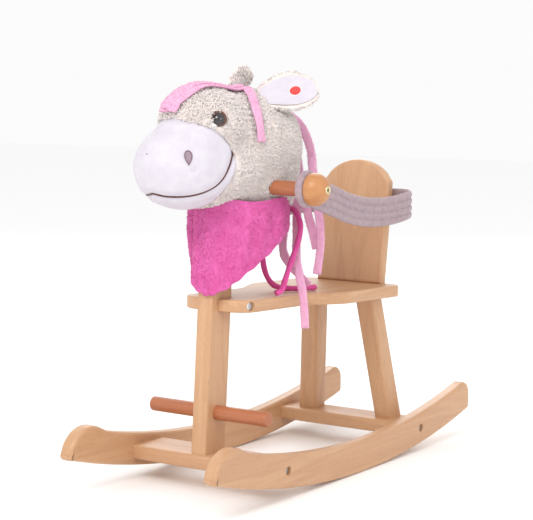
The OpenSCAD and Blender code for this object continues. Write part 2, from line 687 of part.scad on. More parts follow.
// A cone that opens upwards from the scarf's tip, leaning back round the neck.
module scarf_form(g) translate(scarf_tip) rotate([-scarf_lean, 0, 0])
    cylinder(r1 = scarf_tip_r - g, r2 = scarf_tip_r - g + 250 * tan(scarf_spread), h = 250);
module scarf() color(scarf_pink) difference() {
    scarf_form(0);
    translate([0, 0, -0.5]) scarf_form(scarf_t);
    translate([-300, -400, scarf_top]) cube([600, 800, 400]);
    translate([-100, -300, 200]) cube([200, 300, 90]);
    post_bar(soft_gap);
    neck_form(skin_t + soft_gap);
    head_place() skull_form(skin_t + soft_gap);
    head_place() muzzle_form(skin_t + soft_gap);
}
module knot_form() translate(knot_c) rotate([0, 90, 0]) cylinder(d = 17, h = 26, center = true);
knot_c = [4, -46, 404];
module scarf_knot() color(scarf_pink) knot_form();
tie_a_points = [[-2, -32, 398], [-8, -32, 380], [-10, -38, 356], [-8, -44, 330], [-2, -44, 306],
                [6, -38, 290], [16, -30, 284], [28, -24, 283], [38, -14, 282.6], [43, 4, 282],
                [45, 24, 281.3]];
tie_b_points = [[12, -32, 404], [26, -28, 410], [42, -34, 410], [56, -42, 400], [62, -46, 384],
                [62, -50, 364], [60, -58, 344], [60, -70, 326], [60, -82, 306], [60, -92, 290],
                [56, -102, 285.8]];
module scarf_tie_a() color(scarf_pink) sweep(smooth(tie_a_points, 3), round_outline(tie_d / 2, 8), [0.3, 0.2, 1]);
module scarf_tie_b() color(scarf_pink) sweep(smooth(tie_b_points, 3), round_outline(tie_d / 2, 8), [0.3, 1, 0.2]);

// The strap's middle line, from the left end round behind the backrest to the right end.
strap_end_x = (knob_x - soft_gap) - strap_end_t / 2;
strap_side = [[strap_end_x, grip_y, grip_z], [strap_end_x, grip_y + 28, 442], [129, -58, 427], [124, -6, 413],
              [117, 60, 404], [111, 130, 399], [106, 190, 402]];
strap_back = [[92, 232, 405], [62, 252, 405], [20, 256, 404]];
strap_half = concat(strap_side, strap_back);
strap_points = concat(strap_half,
    [for (i = [len(strap_half) - 1:-1:0]) [-strap_half[i][0], strap_half[i][1], strap_half[i][2]]]);
module safety_strap() color(strap_grey) difference() {
    union() {
        sweep(smooth(strap_points, 2), flat_outline(strap_t, strap_w), [1, 0.001, 0]);
        for (s = [-1, 1]) translate([s * strap_end_x - strap_end_t / 2, grip_y, grip_z]) rotate([0, 90, 0])
            cylinder(r = strap_end_r, h = strap_end_t);
    }
    dowel_lane(grip_y, grip_z, grip_d + 2 * soft_gap);
}

// ---- Sound box ----
board_t = 1.6;
cell_d = 14;
cell_len = 46;
module sound_box() color([0.85, 0.85, 0.83]) head_place() difference() {
    box_room(0);
    translate(box_c - box_size / 2 + [box_wall, box_wall, box_wall])
        cube([box_size[0] - 2 * box_wall, box_size[1], box_size[2] - 2 * box_wall]);
}
module sound_box_lid() color([0.8, 0.8, 0.78]) head_place() difference() {
    translate([box_c[0] - box_size[0] / 2 + box_wall + hole_gap, box_c[1] + box_size[1] / 2 - box_wall,
               box_c[2] - box_size[2] / 2 + box_wall + hole_gap])
        cube([box_size[0] - 2 * box_wall - 2 * hole_gap, box_wall, box_size[2] - 2 * box_wall - 2 * hole_gap]);
    for (a = [0:45:315]) translate([box_c[0] + 9 * cos(a), box_c[1], box_c[2] + 9 * sin(a)])
        rotate([-90, 0, 0]) cylinder(d = 3, h = box_size[1]);
}
module speaker() color([0.25, 0.25, 0.27]) head_place()
    translate([box_c[0], box_c[1] + box_size[1] / 2 - box_wall - 8.5, box_c[2]]) rotate([-90, 0, 0]) {
        cylinder(d = 18, h = 5.2);
        translate([0, 0, 5]) cylinder(d = 32, h = 3);
    }
module batteries() color([0.3, 0.45, 0.3]) head_place() for (z = [-9, 9])
    translate([box_c[0] - cell_len / 2, box_c[1] - box_size[1] / 2 + box_wall + cell_d / 2 + 0.5, box_c[2] + z])
        rotate([0, 90, 0]) cylinder(d = cell_d, h = cell_len);
module circuit_board() color([0.2, 0.45, 0.3]) head_place()
    translate([box_c[0] - 22, box_c[1] - box_size[1] / 2 + box_wall + cell_d + 1.5, box_c[2] - 16])
        cube([44, board_t, 32]);

rocker_left();
rocker_right();
front_crossbar();
rear_crossbar();
front_post();
seat_board();
head_block();
head_block_screws();
backrest();
rear_leg_left();
rear_leg_right();
footrest_dowel();
handle_dowel();
handle_knob_left();
handle_knob_right();
knob_ferrules();
knob_screws();
rocker_bolts();
rocker_barrel_nuts();
seat_cross_bolt();
seat_cross_nut();
post_foot_screws();
leg_foot_screws();
leg_top_dowels();
backrest_screws();
head_stuffing();
head_fur_cover();
muzzle_cover();
nostrils();
mouth_stitching();
eyes();
eye_washers();
ear_left();
ear_right();
ear_lining_left();
ear_lining_right();
ear_switch_base();
ear_button();
forelock();
temple_strips();
mane_strips();
scarf();
scarf_knot();
scarf_tie_a();
scarf_tie_b();
safety_strap();
sound_box();
sound_box_lid();
speaker();
batteries();
circuit_board();
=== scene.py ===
# %% [markdown]
# # A toddler's rocking horse
# The frame is beech, cut from boards with rounded edges, and the head is stuffed plush. Every
# visible surface below is computed as a NumPy array of points, in millimetres, and handed to
# Blender in metres. The horse faces -Y, +X is its left side, and the floor is z = 0.

# %% Imports and the fixed frame
import math

import bmesh
import bpy
import numpy as np
from mathutils import Matrix, Vector


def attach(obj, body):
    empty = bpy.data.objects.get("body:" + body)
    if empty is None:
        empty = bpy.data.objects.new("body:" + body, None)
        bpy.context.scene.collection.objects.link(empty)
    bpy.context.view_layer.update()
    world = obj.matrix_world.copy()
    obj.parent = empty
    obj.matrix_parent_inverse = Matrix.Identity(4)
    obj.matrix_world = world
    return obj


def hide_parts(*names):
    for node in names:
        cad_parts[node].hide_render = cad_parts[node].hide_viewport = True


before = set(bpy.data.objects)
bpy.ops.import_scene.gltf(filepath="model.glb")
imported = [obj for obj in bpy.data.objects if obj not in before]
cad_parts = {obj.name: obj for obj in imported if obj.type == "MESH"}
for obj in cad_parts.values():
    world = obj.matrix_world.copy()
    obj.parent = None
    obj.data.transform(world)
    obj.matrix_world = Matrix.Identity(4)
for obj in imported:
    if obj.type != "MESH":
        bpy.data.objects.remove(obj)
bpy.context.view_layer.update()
MM = 0.001

# %% [markdown]
# ## Camera
# A camera is placed by the point it stands on and three directions: right, up and backwards.
# Those are the columns of its matrix. A long lens far away keeps the boards nearly parallel.

# %% Camera
AZIMUTH, ELEVATION, ROLL = (math.radians(a) for a in (34.28, 6.31, 0.31))
forward = np.array([-math.sin(AZIMUTH) * math.cos(ELEVATION), math.cos(AZIMUTH) * math.cos(ELEVATION),
                    -math.sin(ELEVATION)])
level = np.array([math.cos(AZIMUTH), math.sin(AZIMUTH), 0.0])
upright = np.cross(level, forward)
right = math.cos(ROLL) * level + math.sin(ROLL) * upright
up = -math.sin(ROLL) * level + math.cos(ROLL) * upright
lens = bpy.data.cameras.new("camera")
lens.sensor_width, lens.lens = 36.0, 111.55
camera = bpy.data.objects.new("camera", lens)
camera.matrix_world = Matrix.Translation((1.4289, -2.1414, 0.6078)) @ Matrix(
    np.column_stack([right, up, -forward]).tolist()).to_4x4()
bpy.context.scene.collection.objects.link(camera)
bpy.context.scene.camera = camera
bpy.context.scene.view_settings.view_transform = "Standard"
print("camera looks along", forward.round(3))

# %% [markdown]
# ## Materials
# `Value` wraps one output of a shader node. Its operators add Math nodes, so that a formula
# for grain or fleece reads as a formula. `Material.node` adds any other node.

# %% Shader values
class Value:
    """An output in a material's node tree that can be added, subtracted and multiplied."""

    def __init__(self, material, socket):
        self.material, self.socket = material, socket

    def math(self, operation, *others):
        return self.material.node("ShaderNodeMath", dict(enumerate((self, *others))), operation=operation)

    def __add__(self, other):
        return self.math("ADD", other)

    def __mul__(self, other):
        return self.math("MULTIPLY", other)

    def __sub__(self, other):
        return self.math("SUBTRACT", other)

    def __rsub__(self, other):
        return self * -1.0 + other

    def clamp(self, low, high):
        """0 below `low`, 1 above `high` and a straight line between."""
        return self.material.node("ShaderNodeMapRange", {"Value": self, "From Min": low, "From Max": high})

    __radd__, __rmul__ = __add__, __mul__


class Material:
    """A Principled material. Keyword constants are set on the shader's own sockets."""

    def __init__(self, name, **constants):
        self.data = bpy.data.materials.new(name)
        self.data.use_nodes = True
        self.tree = self.data.node_tree
        self.shader = self.tree.nodes["Principled BSDF"]
        for key, value in constants.items():
            self.shader.inputs[key.replace("_", " ")].default_value = value

    def node(self, kind, inputs=None, out=0, **settings):
        made = self.tree.nodes.new(kind)
        for key, value in settings.items():
            setattr(made, key, value)
        for key, value in (inputs or {}).items():
            if isinstance(value, Value):
                self.tree.links.new(value.socket, made.inputs[key])
            else:
                made.inputs[key].default_value = value
        return Value(self, made.outputs[out])

    def place(self, scale=(1, 1, 1), shift=(0, 0, 0)):
        """Object coordinates, in metres, stretched and shifted."""
        coords = self.node("ShaderNodeTexCoord", out="Object")
        return self.node("ShaderNodeMapping", {"Vector": coords, "Scale": scale, "Location": shift})

    def noise(self, place, scale=1.0, detail=3.0, distortion=0.0):
        return self.node("ShaderNodeTexNoise", {"Vector": place, "Scale": scale, "Detail": detail,
                                                "Distortion": distortion})

    def mix(self, factor, a, b):
        return self.node("ShaderNodeMix", {0: factor, 6: a, 7: b}, out=2, data_type="RGBA")

    def link(self, name, value):
        self.tree.links.new(value.socket, self.shader.inputs[name])

    def bump(self, height, distance, strength=1.0):
        self.link("Normal", self.node("ShaderNodeBump", {"Height": height, "Distance": distance,
                                                         "Strength": strength}))


def rgb(r, g, b):
    """A colour given in 0-255 display values, as the linear values that shaders use."""
    v = np.array([r, g, b]) / 255.0
    return (*np.where(v <= 0.04045, v / 12.92, ((v + 0.055) / 1.055) ** 2.4).tolist(), 1.0)


# %% [markdown]
# Beech has fine dark pore dashes along its grain and broad, faint bands. Both come from noise
# that is stretched along the grain. Glued boards change tone a little from stave to stave.

# %% Wood
def wood(name, light, dark, grain, seed, stave=0.0):
    """`grain` is the axis, 0 to 2, that the fibres follow; `stave` is a glued strip's width in metres."""
    m = Material(name, Roughness=0.42, Coat_Weight=0.18, Coat_Roughness=0.22)

    def stretched(along, across):
        return m.place([along if axis == grain else across for axis in range(3)], (seed, 2.3 * seed, 1.7 * seed))

    band = m.noise(stretched(1.6, 26.0), 1.0, 3.0, 0.9)
    ring = (band * 34.0).math("SINE") * 0.5 + 0.5
    streak = m.noise(stretched(9.0, 420.0), 1.0, 2.0, 0.3)
    pore = m.noise(stretched(70.0, 1500.0), 1.0, 1.0).clamp(0.60, 0.72)
    tone = band * 0.75 + ring * 0.16 + streak * 0.34 - 0.17
    if stave:
        x = m.node("ShaderNodeSeparateXYZ", {0: m.node("ShaderNodeTexCoord", out="Object")})
        cell = (x * (1.0 / stave) + 0.03 + seed).math("FLOOR")
        tone = tone + m.node("ShaderNodeTexWhiteNoise", {"W": cell}, noise_dimensions="1D") * 0.34 - 0.16
    base = m.mix(tone, light, dark)
    m.link("Base Color", m.mix(pore * 0.34, base, [0.55 * c for c in dark[:3]] + [1.0]))
    m.link("Roughness", streak * 0.18 + 0.34)
    m.bump(streak * 0.6 + pore * -0.5, 0.00025, 0.5)
    return m.data


BEECH_LIGHT, BEECH_DARK = rgb(208, 166, 126), rgb(176, 128, 92)


def beech(name, grain, seed, stave=0.0):
    return wood(name, BEECH_LIGHT, BEECH_DARK, grain, seed, stave)


RED_WOOD = wood("dowel_wood", rgb(186, 116, 76), rgb(148, 80, 48), 0, 3.0)
KNOB_WOOD = wood("knob_wood", rgb(202, 144, 92), rgb(168, 106, 58), 0, 5.0)
print("wood ready")

# %% [markdown]
# Cloth is matt, with sheen where it is seen edge on. Its nap is noise at two sizes: clumps
# that change the colour, and a fine grain that only roughens the surface.

# %% Cloth, thread, plastic and metal
def cloth(name, light, dark, clump=90.0, nap=900.0, depth=0.0012, sheen=0.35):
    m = Material(name, Roughness=0.92, Sheen_Weight=sheen, Sheen_Roughness=0.45)
    m.shader.inputs["Specular IOR Level"].default_value = 0.2
    place = m.place()
    broad = m.noise(place, clump, 3.0, 0.4)
    fine = m.noise(place, nap, 2.0, 0.2)
    m.link("Base Color", m.mix((broad * 0.7 + fine * 0.5 - 0.1).clamp(0.25, 0.8), dark, light))
    m.bump(broad * 0.6 + fine * 0.4, depth, 0.6)
    return m.data


PLUSH = cloth("plush", rgb(246, 236, 230), rgb(226, 210, 202), 150.0, 1200.0, 0.002, 0.5)
PLUSH_TUFT = cloth("plush_tuft", rgb(250, 243, 240), rgb(236, 226, 222), 110.0, 900.0, 0.0005, 0.6)
VELOUR = cloth("velour", rgb(216, 211, 219), rgb(200, 194, 204), 60.0, 1500.0, 0.0011, 0.12)
FLEECE = cloth("mane_fleece", rgb(238, 186, 212), rgb(222, 158, 194), 160.0, 1100.0, 0.002, 0.2)
SCARF = cloth("scarf_cloth", rgb(220, 110, 176), rgb(206, 84, 150), 45.0, 1500.0, 0.001, 0.15)
TIE = cloth("tie_cloth", rgb(226, 96, 166), rgb(204, 68, 138), 140.0, 1500.0, 0.001, 0.2)
STRAP = cloth("strap_cloth", rgb(180, 160, 164), rgb(148, 128, 136), 140.0, 1900.0, 0.0007, 0.25)
NOSTRIL = cloth("nostril_felt", rgb(168, 150, 160), rgb(140, 120, 132), 200.0, 1600.0, 0.0006, 0.3)
# Painted shade: a darker felt for the thin tube round each nostril's edge, standing for the shadow inside its rim.
NOSTRIL_EDGE_SHADE = cloth("nostril_edge_painted_shade", rgb(142, 118, 130), rgb(112, 90, 102), 200.0, 1600.0, 0.0005, 0.2)
STITCH = cloth("thread", rgb(112, 70, 58), rgb(78, 44, 36), 300.0, 2200.0, 0.0003, 0.2)
PALE_STITCH = cloth("seam_thread", rgb(232, 214, 226), rgb(205, 180, 198), 300.0, 2200.0, 0.0003, 0.2)
RED_PRINT = cloth("button_print", rgb(226, 92, 88), rgb(200, 62, 62), 200.0, 1600.0, 0.0004, 0.2)
WHITE_PRINT = cloth("button_rim", rgb(250, 246, 246), rgb(236, 228, 230), 200.0, 1600.0, 0.0004, 0.2)
EYE = Material("eye_gloss", Base_Color=rgb(20, 14, 14), Roughness=0.04, Coat_Weight=1.0, Coat_Roughness=0.02).data
IRIS = cloth("eye_iris", rgb(122, 104, 98), rgb(74, 56, 50), 400.0, 2400.0, 0.0002, 0.0)
LID = cloth("eye_lid", rgb(128, 88, 66), rgb(92, 58, 42), 250.0, 1800.0, 0.0005, 0.3)
FERRULE = Material("ferrule_metal", Base_Color=rgb(222, 208, 170), Metallic=1.0, Roughness=0.32).data
STEEL = Material("bolt_steel", Base_Color=rgb(214, 214, 216), Metallic=0.7, Roughness=0.42).data
DARK = Material("dark_slot", Base_Color=rgb(38, 34, 33), Roughness=0.6).data
print("materials:", len(bpy.data.materials))

# %% [markdown]
# ## From points to meshes
# `piece` makes an object from points and faces. `quads` joins a rectangular array of points
# with four-sided faces, closed round one or both ways where asked.

# %% Mesh helpers
def piece(name, points, faces, material, body="horse", slot=None, replaces=(), sharp=None):
    """A mesh object from points in millimetres; edges bent more than `sharp` degrees stay hard."""
    mesh = bpy.data.meshes.new(name)
    faces = faces if isinstance(faces, list) else faces.tolist()
    mesh.from_pydata((np.asarray(points, float) * MM).tolist(), [], faces)
    mesh.polygons.foreach_set("use_smooth", np.ones(len(mesh.polygons), bool))
    if sharp is not None:
        mesh.set_sharp_from_angle(angle=math.radians(sharp))
    mesh.materials.append(material)
    made = bpy.data.objects.new(name, mesh)
    bpy.context.scene.collection.objects.link(made)
    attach(made, body)
    if replaces:
        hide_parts(*replaces)
    return made


def quads(rows, columns, round_rows=False, round_columns=False, start=0):
    """Faces of a grid of points numbered row by row."""
    i = np.arange(rows if round_rows else rows - 1)[:, None]
    j = np.arange(columns if round_columns else columns - 1)[None, :]
    k, l = (i + 1) % rows, (j + 1) % columns
    corners = [i * columns + j, i * columns + l, k * columns + l, k * columns + j]
    return np.stack([np.broadcast_to(c, (i.size, j.size)) for c in corners], -1).reshape(-1, 4) + start


def joined(parts):
    """One point list and one face list from several."""
    points, faces, start = [], [], 0
    for p, f in parts:
        p = np.asarray(p, float).reshape(-1, 3)
        points.append(p)
        faces += [[v + start for v in face] for face in (f if isinstance(f, list) else f.tolist())]
        start += len(p)
    return np.concatenate(points), faces


def unit(v):
    return v / np.maximum(np.linalg.norm(v, axis=-1, keepdims=True), 1e-9)


def offset(outline, distance):
    """A closed outline moved inwards; points run anticlockwise."""
    back, ahead = unit(outline - np.roll(outline, 1, 0)), unit(np.roll(outline, -1, 0) - outline)
    side = unit(np.stack([-(back + ahead)[:, 1], (back + ahead)[:, 0]], 1))
    lengthen = 1.0 / np.maximum(0.5, (side * np.stack([-back[:, 1], back[:, 0]], 1)).sum(1))
    return outline + side * (distance * lengthen)[:, None]


def rounded_solid(outline, thickness, radius, place, steps=6):
    """A board: its outline, stepped in round both edges along a quarter circle.

    At angle a the ring is inset r(1 - sin a) and stands r(1 - cos a) below the face.
    """
    angles = np.linspace(0, math.pi / 2, steps + 1)
    insets = radius * (1 - np.sin(angles))
    heights = thickness / 2 - radius * (1 - np.cos(angles))
    insets = np.concatenate([[radius + 1.2], insets, insets[::-1], [radius + 1.2]])
    heights = np.concatenate([[thickness / 2], heights, -heights[::-1], [-thickness / 2]])
    rings = [place(offset(outline, d), np.full(len(outline), h)) for d, h in zip(insets, heights)]
    n, m = len(rings), len(outline)
    faces = quads(n, m, round_columns=True)[:, ::-1].tolist()
    faces += [list(range(m)), [(n - 1) * m + j for j in range(m)][::-1]]
    return np.concatenate(rings), faces


def arc(cx, cy, radius, start, stop, count):
    """Points on an arc between two angles in degrees."""
    a = np.radians(np.linspace(start, stop, count))
    return np.stack([cx + radius * np.cos(a), cy + radius * np.sin(a)], 1)


def rectangle(width, height, corner, count=6):
    """A rectangle round the middle, with rounded corners, anticlockwise."""
    x, y = width / 2 - corner, height / 2 - corner
    return np.concatenate([arc(sx * x, sy * y, corner, a, a + 90, count)
                           for sx, sy, a in ((1, 1, 0), (-1, 1, 90), (-1, -1, 180), (1, -1, 270))])


def fix_winding(made):
    """Turn every face outwards."""
    b = bmesh.new()
    b.from_mesh(made.data)
    bmesh.ops.recalc_face_normals(b, faces=b.faces)
    b.to_mesh(made.data)
    b.free()


def drill(board, holes):
    """Cut round holes: each is a middle point, an axis and a radius and depth, in millimetres."""
    fix_winding(board)
    for n, (middle, axis, radius, depth) in enumerate(holes):
        ring = rectangle(2 * radius, 2 * radius, radius - 0.01, 9)
        a = unit(np.array(axis, float))
        b = unit(np.cross(a, [0.0, 0.3, 1.0]))
        c = np.cross(a, b)
        ends = [np.array(middle) + s * depth * a + ring[:, :1] * b + ring[:, 1:] * c for s in (-1, 1)]
        m = len(ring)
        faces = quads(2, m, round_columns=True).tolist() + [list(range(m))[::-1], [m + j for j in range(m)]]
        tool = piece(f"cutter_{n}", np.concatenate(ends), faces, DARK)
        fix_winding(tool)
        cut = board.modifiers.new("hole", "BOOLEAN")
        cut.object, cut.operation, cut.solver = tool, "DIFFERENCE", "EXACT"
        bpy.context.view_layer.objects.active = board
        bpy.ops.object.modifier_apply(modifier=cut.name)
        bpy.data.objects.remove(tool)
    board.data.set_sharp_from_angle(angle=math.radians(28))


# %% [markdown]
# ## The wooden frame
# Both edges of a rocker are arcs about one middle point high above the floor. The nose is a
# circle that the lower arc cuts off, and the back end is square with a rounded upper corner.

# %% Rockers
ROLL_RADIUS, BOARD_HEIGHT, REST_Y = 1396.0, 50.0, 23.0
INNER_X, BOARD = 118.0, 22.0


def on_arc(radius, y):
    return ROLL_RADIUS - np.sqrt(radius ** 2 - (y - REST_Y) ** 2)


def rocker_outline():
    """Anticlockwise outline in (y, z), from the nose along the lower edge."""
    lower = np.stack([y := np.linspace(-362, 362, 90), on_arc(ROLL_RADIUS, y)], 1)
    z_tail = float(on_arc(ROLL_RADIUS - BOARD_HEIGHT, 352.0))
    toe = arc(364, float(on_arc(ROLL_RADIUS, 364)) + 8.2, 8, -68, 0, 6)
    corner = arc(352, z_tail - 20, 20, 0, 95, 10)
    upper = np.stack([y := np.linspace(340, -284, 80), on_arc(ROLL_RADIUS - BOARD_HEIGHT, y)], 1)
    nose_z = float(on_arc(ROLL_RADIUS - BOARD_HEIGHT, -324.0)) + 4 - 48
    nose = arc(-324, nose_z, 48, 62, 166, 26)
    tip = arc(-362.6, 63.0, 9.2, 178, 250, 7)
    return np.concatenate([lower, toe, corner, upper, nose, tip])


BOLTS = [(-191.0, 43.0), (202.0, 38.0)]
for side, word in ((1, "left"), (-1, "right")):
    middle = side * (INNER_X + BOARD / 2)
    points, faces = rounded_solid(rocker_outline(), BOARD, 5.0,
                                  lambda q, h: np.stack([middle + h, q[:, 0], q[:, 1]], 1))
    rocker = piece(f"rocker_board_{word}", points, faces, beech(f"beech_rocker_{word}", 1, 11.0 + side),
                   slot="beech", replaces=[f"rocker_{word}"], sharp=28)
    drill(rocker, [((side * (INNER_X + BOARD), y, z), (1, 0, 0), 6.6, 7.4) for y, z in BOLTS])
print("rockers", len(rocker.data.vertices))

# %% [markdown]
# The crossbars, post and legs are bars: one rounded rectangle carried between two ends. Each
# ring may slide and turn a little, which gives the post its lean and the legs their splay.

# %% Crossbars, post and legs
def bar(name, rings, material, node, slot="beech", body="horse"):
    """A bar through a list of closed rings with the same number of points."""
    m = len(rings[0])
    n = len(rings)
    faces = quads(n, m, round_columns=True).tolist() + [list(range(m))[::-1], [(n - 1) * m + j for j in range(m)]]
    return piece(name, np.concatenate(rings), faces, material, body, slot, [node], sharp=28)


for name, y, z, depth, seed in (("front", -191.0, 43.0, 72.0, 21.0), ("rear", 202.0, 38.0, 59.0, 23.0)):
    shape = rectangle(depth, 22.0, 4.0)
    made = bar(f"crossbar_{name}", [np.stack([np.full(len(shape), x), y + shape[:, 0], z + shape[:, 1]], 1)
                                    for x in (-118, -60, 0, 60, 118)], beech(f"beech_crossbar_{name}", 0, seed),
               f"{name}_crossbar")
    fix_winding(made)

POST_WIDTH, POST_DEPTH, POST_TOP = 27.0, 51.0, 490.0
POST_FOOT_Y, POST_FOOT_Z, POST_LEAN = -197.0, 54.0, math.tan(math.radians(4.0))


def post_middle(z):
    """How far along y the middle of the post stands at a height."""
    return POST_FOOT_Y + (z - POST_FOOT_Z) * POST_LEAN


shape = rectangle(POST_WIDTH, POST_DEPTH, 3.5)
made = bar("post", [np.stack([shape[:, 0], post_middle(z) + shape[:, 1], np.full(len(shape), z)], 1)
                    for z in np.linspace(POST_FOOT_Z, POST_TOP, 12)], beech("beech_post", 2, 27.0), "front_post")
fix_winding(made)

SEAT_FRONT_Y, SEAT_FRONT_Z, SEAT_SLOPE, SEAT_T = -191.5, 283.6, math.radians(2.0), 19.0


def seat_top(y):
    return SEAT_FRONT_Z - (y - SEAT_FRONT_Y) * math.tan(SEAT_SLOPE)


LEG_FOOT = np.array([75.0, 206.0, 49.0])
for side, word in ((1, "left"), (-1, "right")):
    shape = rectangle(32.0, 36.0, 5.0)
    rings = []
    for f in np.linspace(0, 1, 8):
        rise = f * (seat_top(176.0) - SEAT_T - LEG_FOOT[2] + 1.0)
        x = side * (LEG_FOOT[0] - rise * math.tan(math.radians(6.6))) + shape[:, 0]
        y = LEG_FOOT[1] - rise * math.tan(math.radians(8.4)) + shape[:, 1]
        rings.append(np.stack([x, y, LEG_FOOT[2] + rise - (y - y.mean()) * math.tan(SEAT_SLOPE) * f], 1))
    made = bar(f"leg_{word}", rings, beech(f"beech_leg_{word}", 2, 31.0 + side), f"rear_leg_{word}")
    fix_winding(made)
print("bars done")

# %% [markdown]
# Seen from above, the seat has a short forked nose round the post, a quarter ellipse out to
# its waist, and a smooth step out to the hips.

# %% Seat and backrest
SEAT_LENGTH, NOSE_RUN, HIP_START, HIP_RUN = 411.0, 32.0, 150.0, 100.0
NOSE_HALF, WAIST_HALF, HIP_HALF, CORNER = 25.0, 60.0, 93.0, 22.0
NOTCH_HALF, NOTCH_DEPTH = POST_WIDTH / 2 + 0.1, 36.4


def seat_half(t):
    """Half the seat's width at a distance behind its front end."""
    flare = (WAIST_HALF - NOSE_HALF) * np.sqrt(1 - (1 - np.minimum(t, NOSE_RUN) / NOSE_RUN) ** 2)
    u = np.clip((t - HIP_START) / HIP_RUN, 0, 1)
    return NOSE_HALF + flare + (HIP_HALF - WAIST_HALF) * u * u * (3 - 2 * u)


def seat_outline():
    """Anticlockwise seen from above: (x, distance behind the front), with the notch for the post."""
    run = np.concatenate([NOSE_RUN * np.linspace(0.12, 1, 20) ** 2, np.linspace(42, 384, 52)])
    side = np.stack([seat_half(run), run], 1)
    corner = arc(HIP_HALF - CORNER, SEAT_LENGTH - CORNER, CORNER, 0, 90, 8)
    half = np.concatenate([[[NOSE_HALF - 2.0, 0.0]], side, corner])
    other = half[::-1] * [-1, 1]
    notch = np.array([[-1, 0], [-1, 18 / NOTCH_DEPTH], [-1, 1], [1, 1], [1, 18 / NOTCH_DEPTH], [1, 0]])
    return np.concatenate([half, other, notch * [NOTCH_HALF, NOTCH_DEPTH]])


def on_seat(q, h):
    """Seat coordinates (x, distance back) and height above its middle, to the horse's frame."""
    c, s = math.cos(SEAT_SLOPE), math.sin(SEAT_SLOPE)
    up_from_top = h - SEAT_T / 2
    return np.stack([q[:, 0], SEAT_FRONT_Y + q[:, 1] * c + up_from_top * s,
                     SEAT_FRONT_Z - q[:, 1] * s + up_from_top * c], 1)


points, faces = rounded_solid(seat_outline(), SEAT_T, 3.0, on_seat)
seat = piece("seat", points, faces, beech("beech_seat", 1, 41.0, 0.062), slot="beech",
             replaces=["seat_board"], sharp=28)
CROSS_Y = post_middle(274.0) + 12.0
CROSS_Z = seat_top(CROSS_Y) - SEAT_T / 2
CROSS_HALF = float(seat_half(np.array(CROSS_Y - SEAT_FRONT_Y)))
drill(seat, [((side * (CROSS_HALF + 3), CROSS_Y, CROSS_Z), (1, 0, 0), 6.9, 9.0) for side in (1, -1)])

BACK_WIDTH, BACK_T, SHOULDER, CROWN = 125.0, 18.0, 172.0, 33.0
BACK_Y, BACK_LEAN = 197.0, math.radians(7.5)
crown_radius = ((BACK_WIDTH / 2) ** 2 + CROWN ** 2) / (2 * CROWN)
reach = math.degrees(math.asin((BACK_WIDTH / 2 - 6) / crown_radius))
back_outline = np.concatenate([
    np.stack([np.linspace(-BACK_WIDTH / 2, BACK_WIDTH / 2, 12), np.zeros(12)], 1),
    np.stack([np.full(10, BACK_WIDTH / 2), np.linspace(12, SHOULDER - 8, 10)], 1),
    arc(BACK_WIDTH / 2 - 9, SHOULDER - 4.5, 9, 8, 52, 5),
    arc(0, SHOULDER + CROWN - crown_radius, crown_radius, 90 - reach + 5, 90 + reach - 5, 40),
    arc(-BACK_WIDTH / 2 + 9, SHOULDER - 4.5, 9, 128, 172, 5),
    np.stack([np.full(10, -BACK_WIDTH / 2), np.linspace(SHOULDER - 8, 12, 10)], 1)])


def on_back(q, h):
    """Backrest coordinates (x, height up its face) and depth behind its middle."""
    behind = BACK_T / 2 - h
    c, s = math.cos(BACK_LEAN), math.sin(BACK_LEAN)
    return np.stack([q[:, 0], BACK_Y + q[:, 1] * s + behind * c,
                     seat_top(BACK_Y) + q[:, 1] * c - behind * s], 1)


points, faces = rounded_solid(back_outline, BACK_T, 5.0, on_back)
back = piece("backrest_board", points, faces, beech("beech_backrest", 2, 52.0, 0.0635), slot="beech",
             replaces=["backrest"], sharp=28)
print("seat and backrest")

# %% [markdown]
# ## Turned pieces
# A profile of (distance along the axis, radius) turned about a line gives dowels, knobs,
# ferrules and bolt heads.

# %% Dowels, knobs and bolts
def turned(start, axis, profile, count=48):
    """Points and faces of a profile turned about an axis from a start point."""
    axis = unit(np.array(axis, float))
    a = unit(np.cross(axis, [0.13, 0.31, 0.94]))
    b = np.cross(axis, a)
    turn = np.linspace(0, 2 * math.pi, count, endpoint=False)
    circle = np.cos(turn)[:, None] * a + np.sin(turn)[:, None] * b
    profile = np.asarray(profile, float)
    points = np.array(start) + profile[:, None, :1] * axis + profile[:, None, 1:] * circle[None]
    faces = quads(len(profile), count, round_columns=True)[:, ::-1]
    return points.reshape(-1, 3), faces


def dowel_profile(length, radius, edge):
    """A cylinder whose two rims are rounded by `edge`."""
    a = np.linspace(0, math.pi / 2, 6)
    start = np.stack([edge * (1 - np.cos(a)), radius - edge + edge * np.sin(a)], 1)
    return np.concatenate([[[0, 0.01]], start, start[::-1] * [-1, 1] + [length, 0], [[length, 0.01]]])


FOOTREST_Z, FOOTREST_HALF, HANDLE_HALF, DOWEL_RADIUS = 114.0, 106.0, 152.0, 11.0
points, faces = turned((-FOOTREST_HALF, post_middle(FOOTREST_Z), FOOTREST_Z), (1, 0, 0),
                       dowel_profile(2 * FOOTREST_HALF, DOWEL_RADIUS, 2.5))
piece("footrest", points, faces, RED_WOOD, slot="dowel_wood", replaces=["footrest_dowel"], sharp=40)
GRIP = np.array([0.0, -133.0, 447.0])
points, faces = turned(GRIP - [HANDLE_HALF, 0, 0], (1, 0, 0), dowel_profile(2 * HANDLE_HALF, DOWEL_RADIUS, 2.0))
piece("handle", points, faces, RED_WOOD, slot="dowel_wood", replaces=["handle_dowel"], sharp=40)

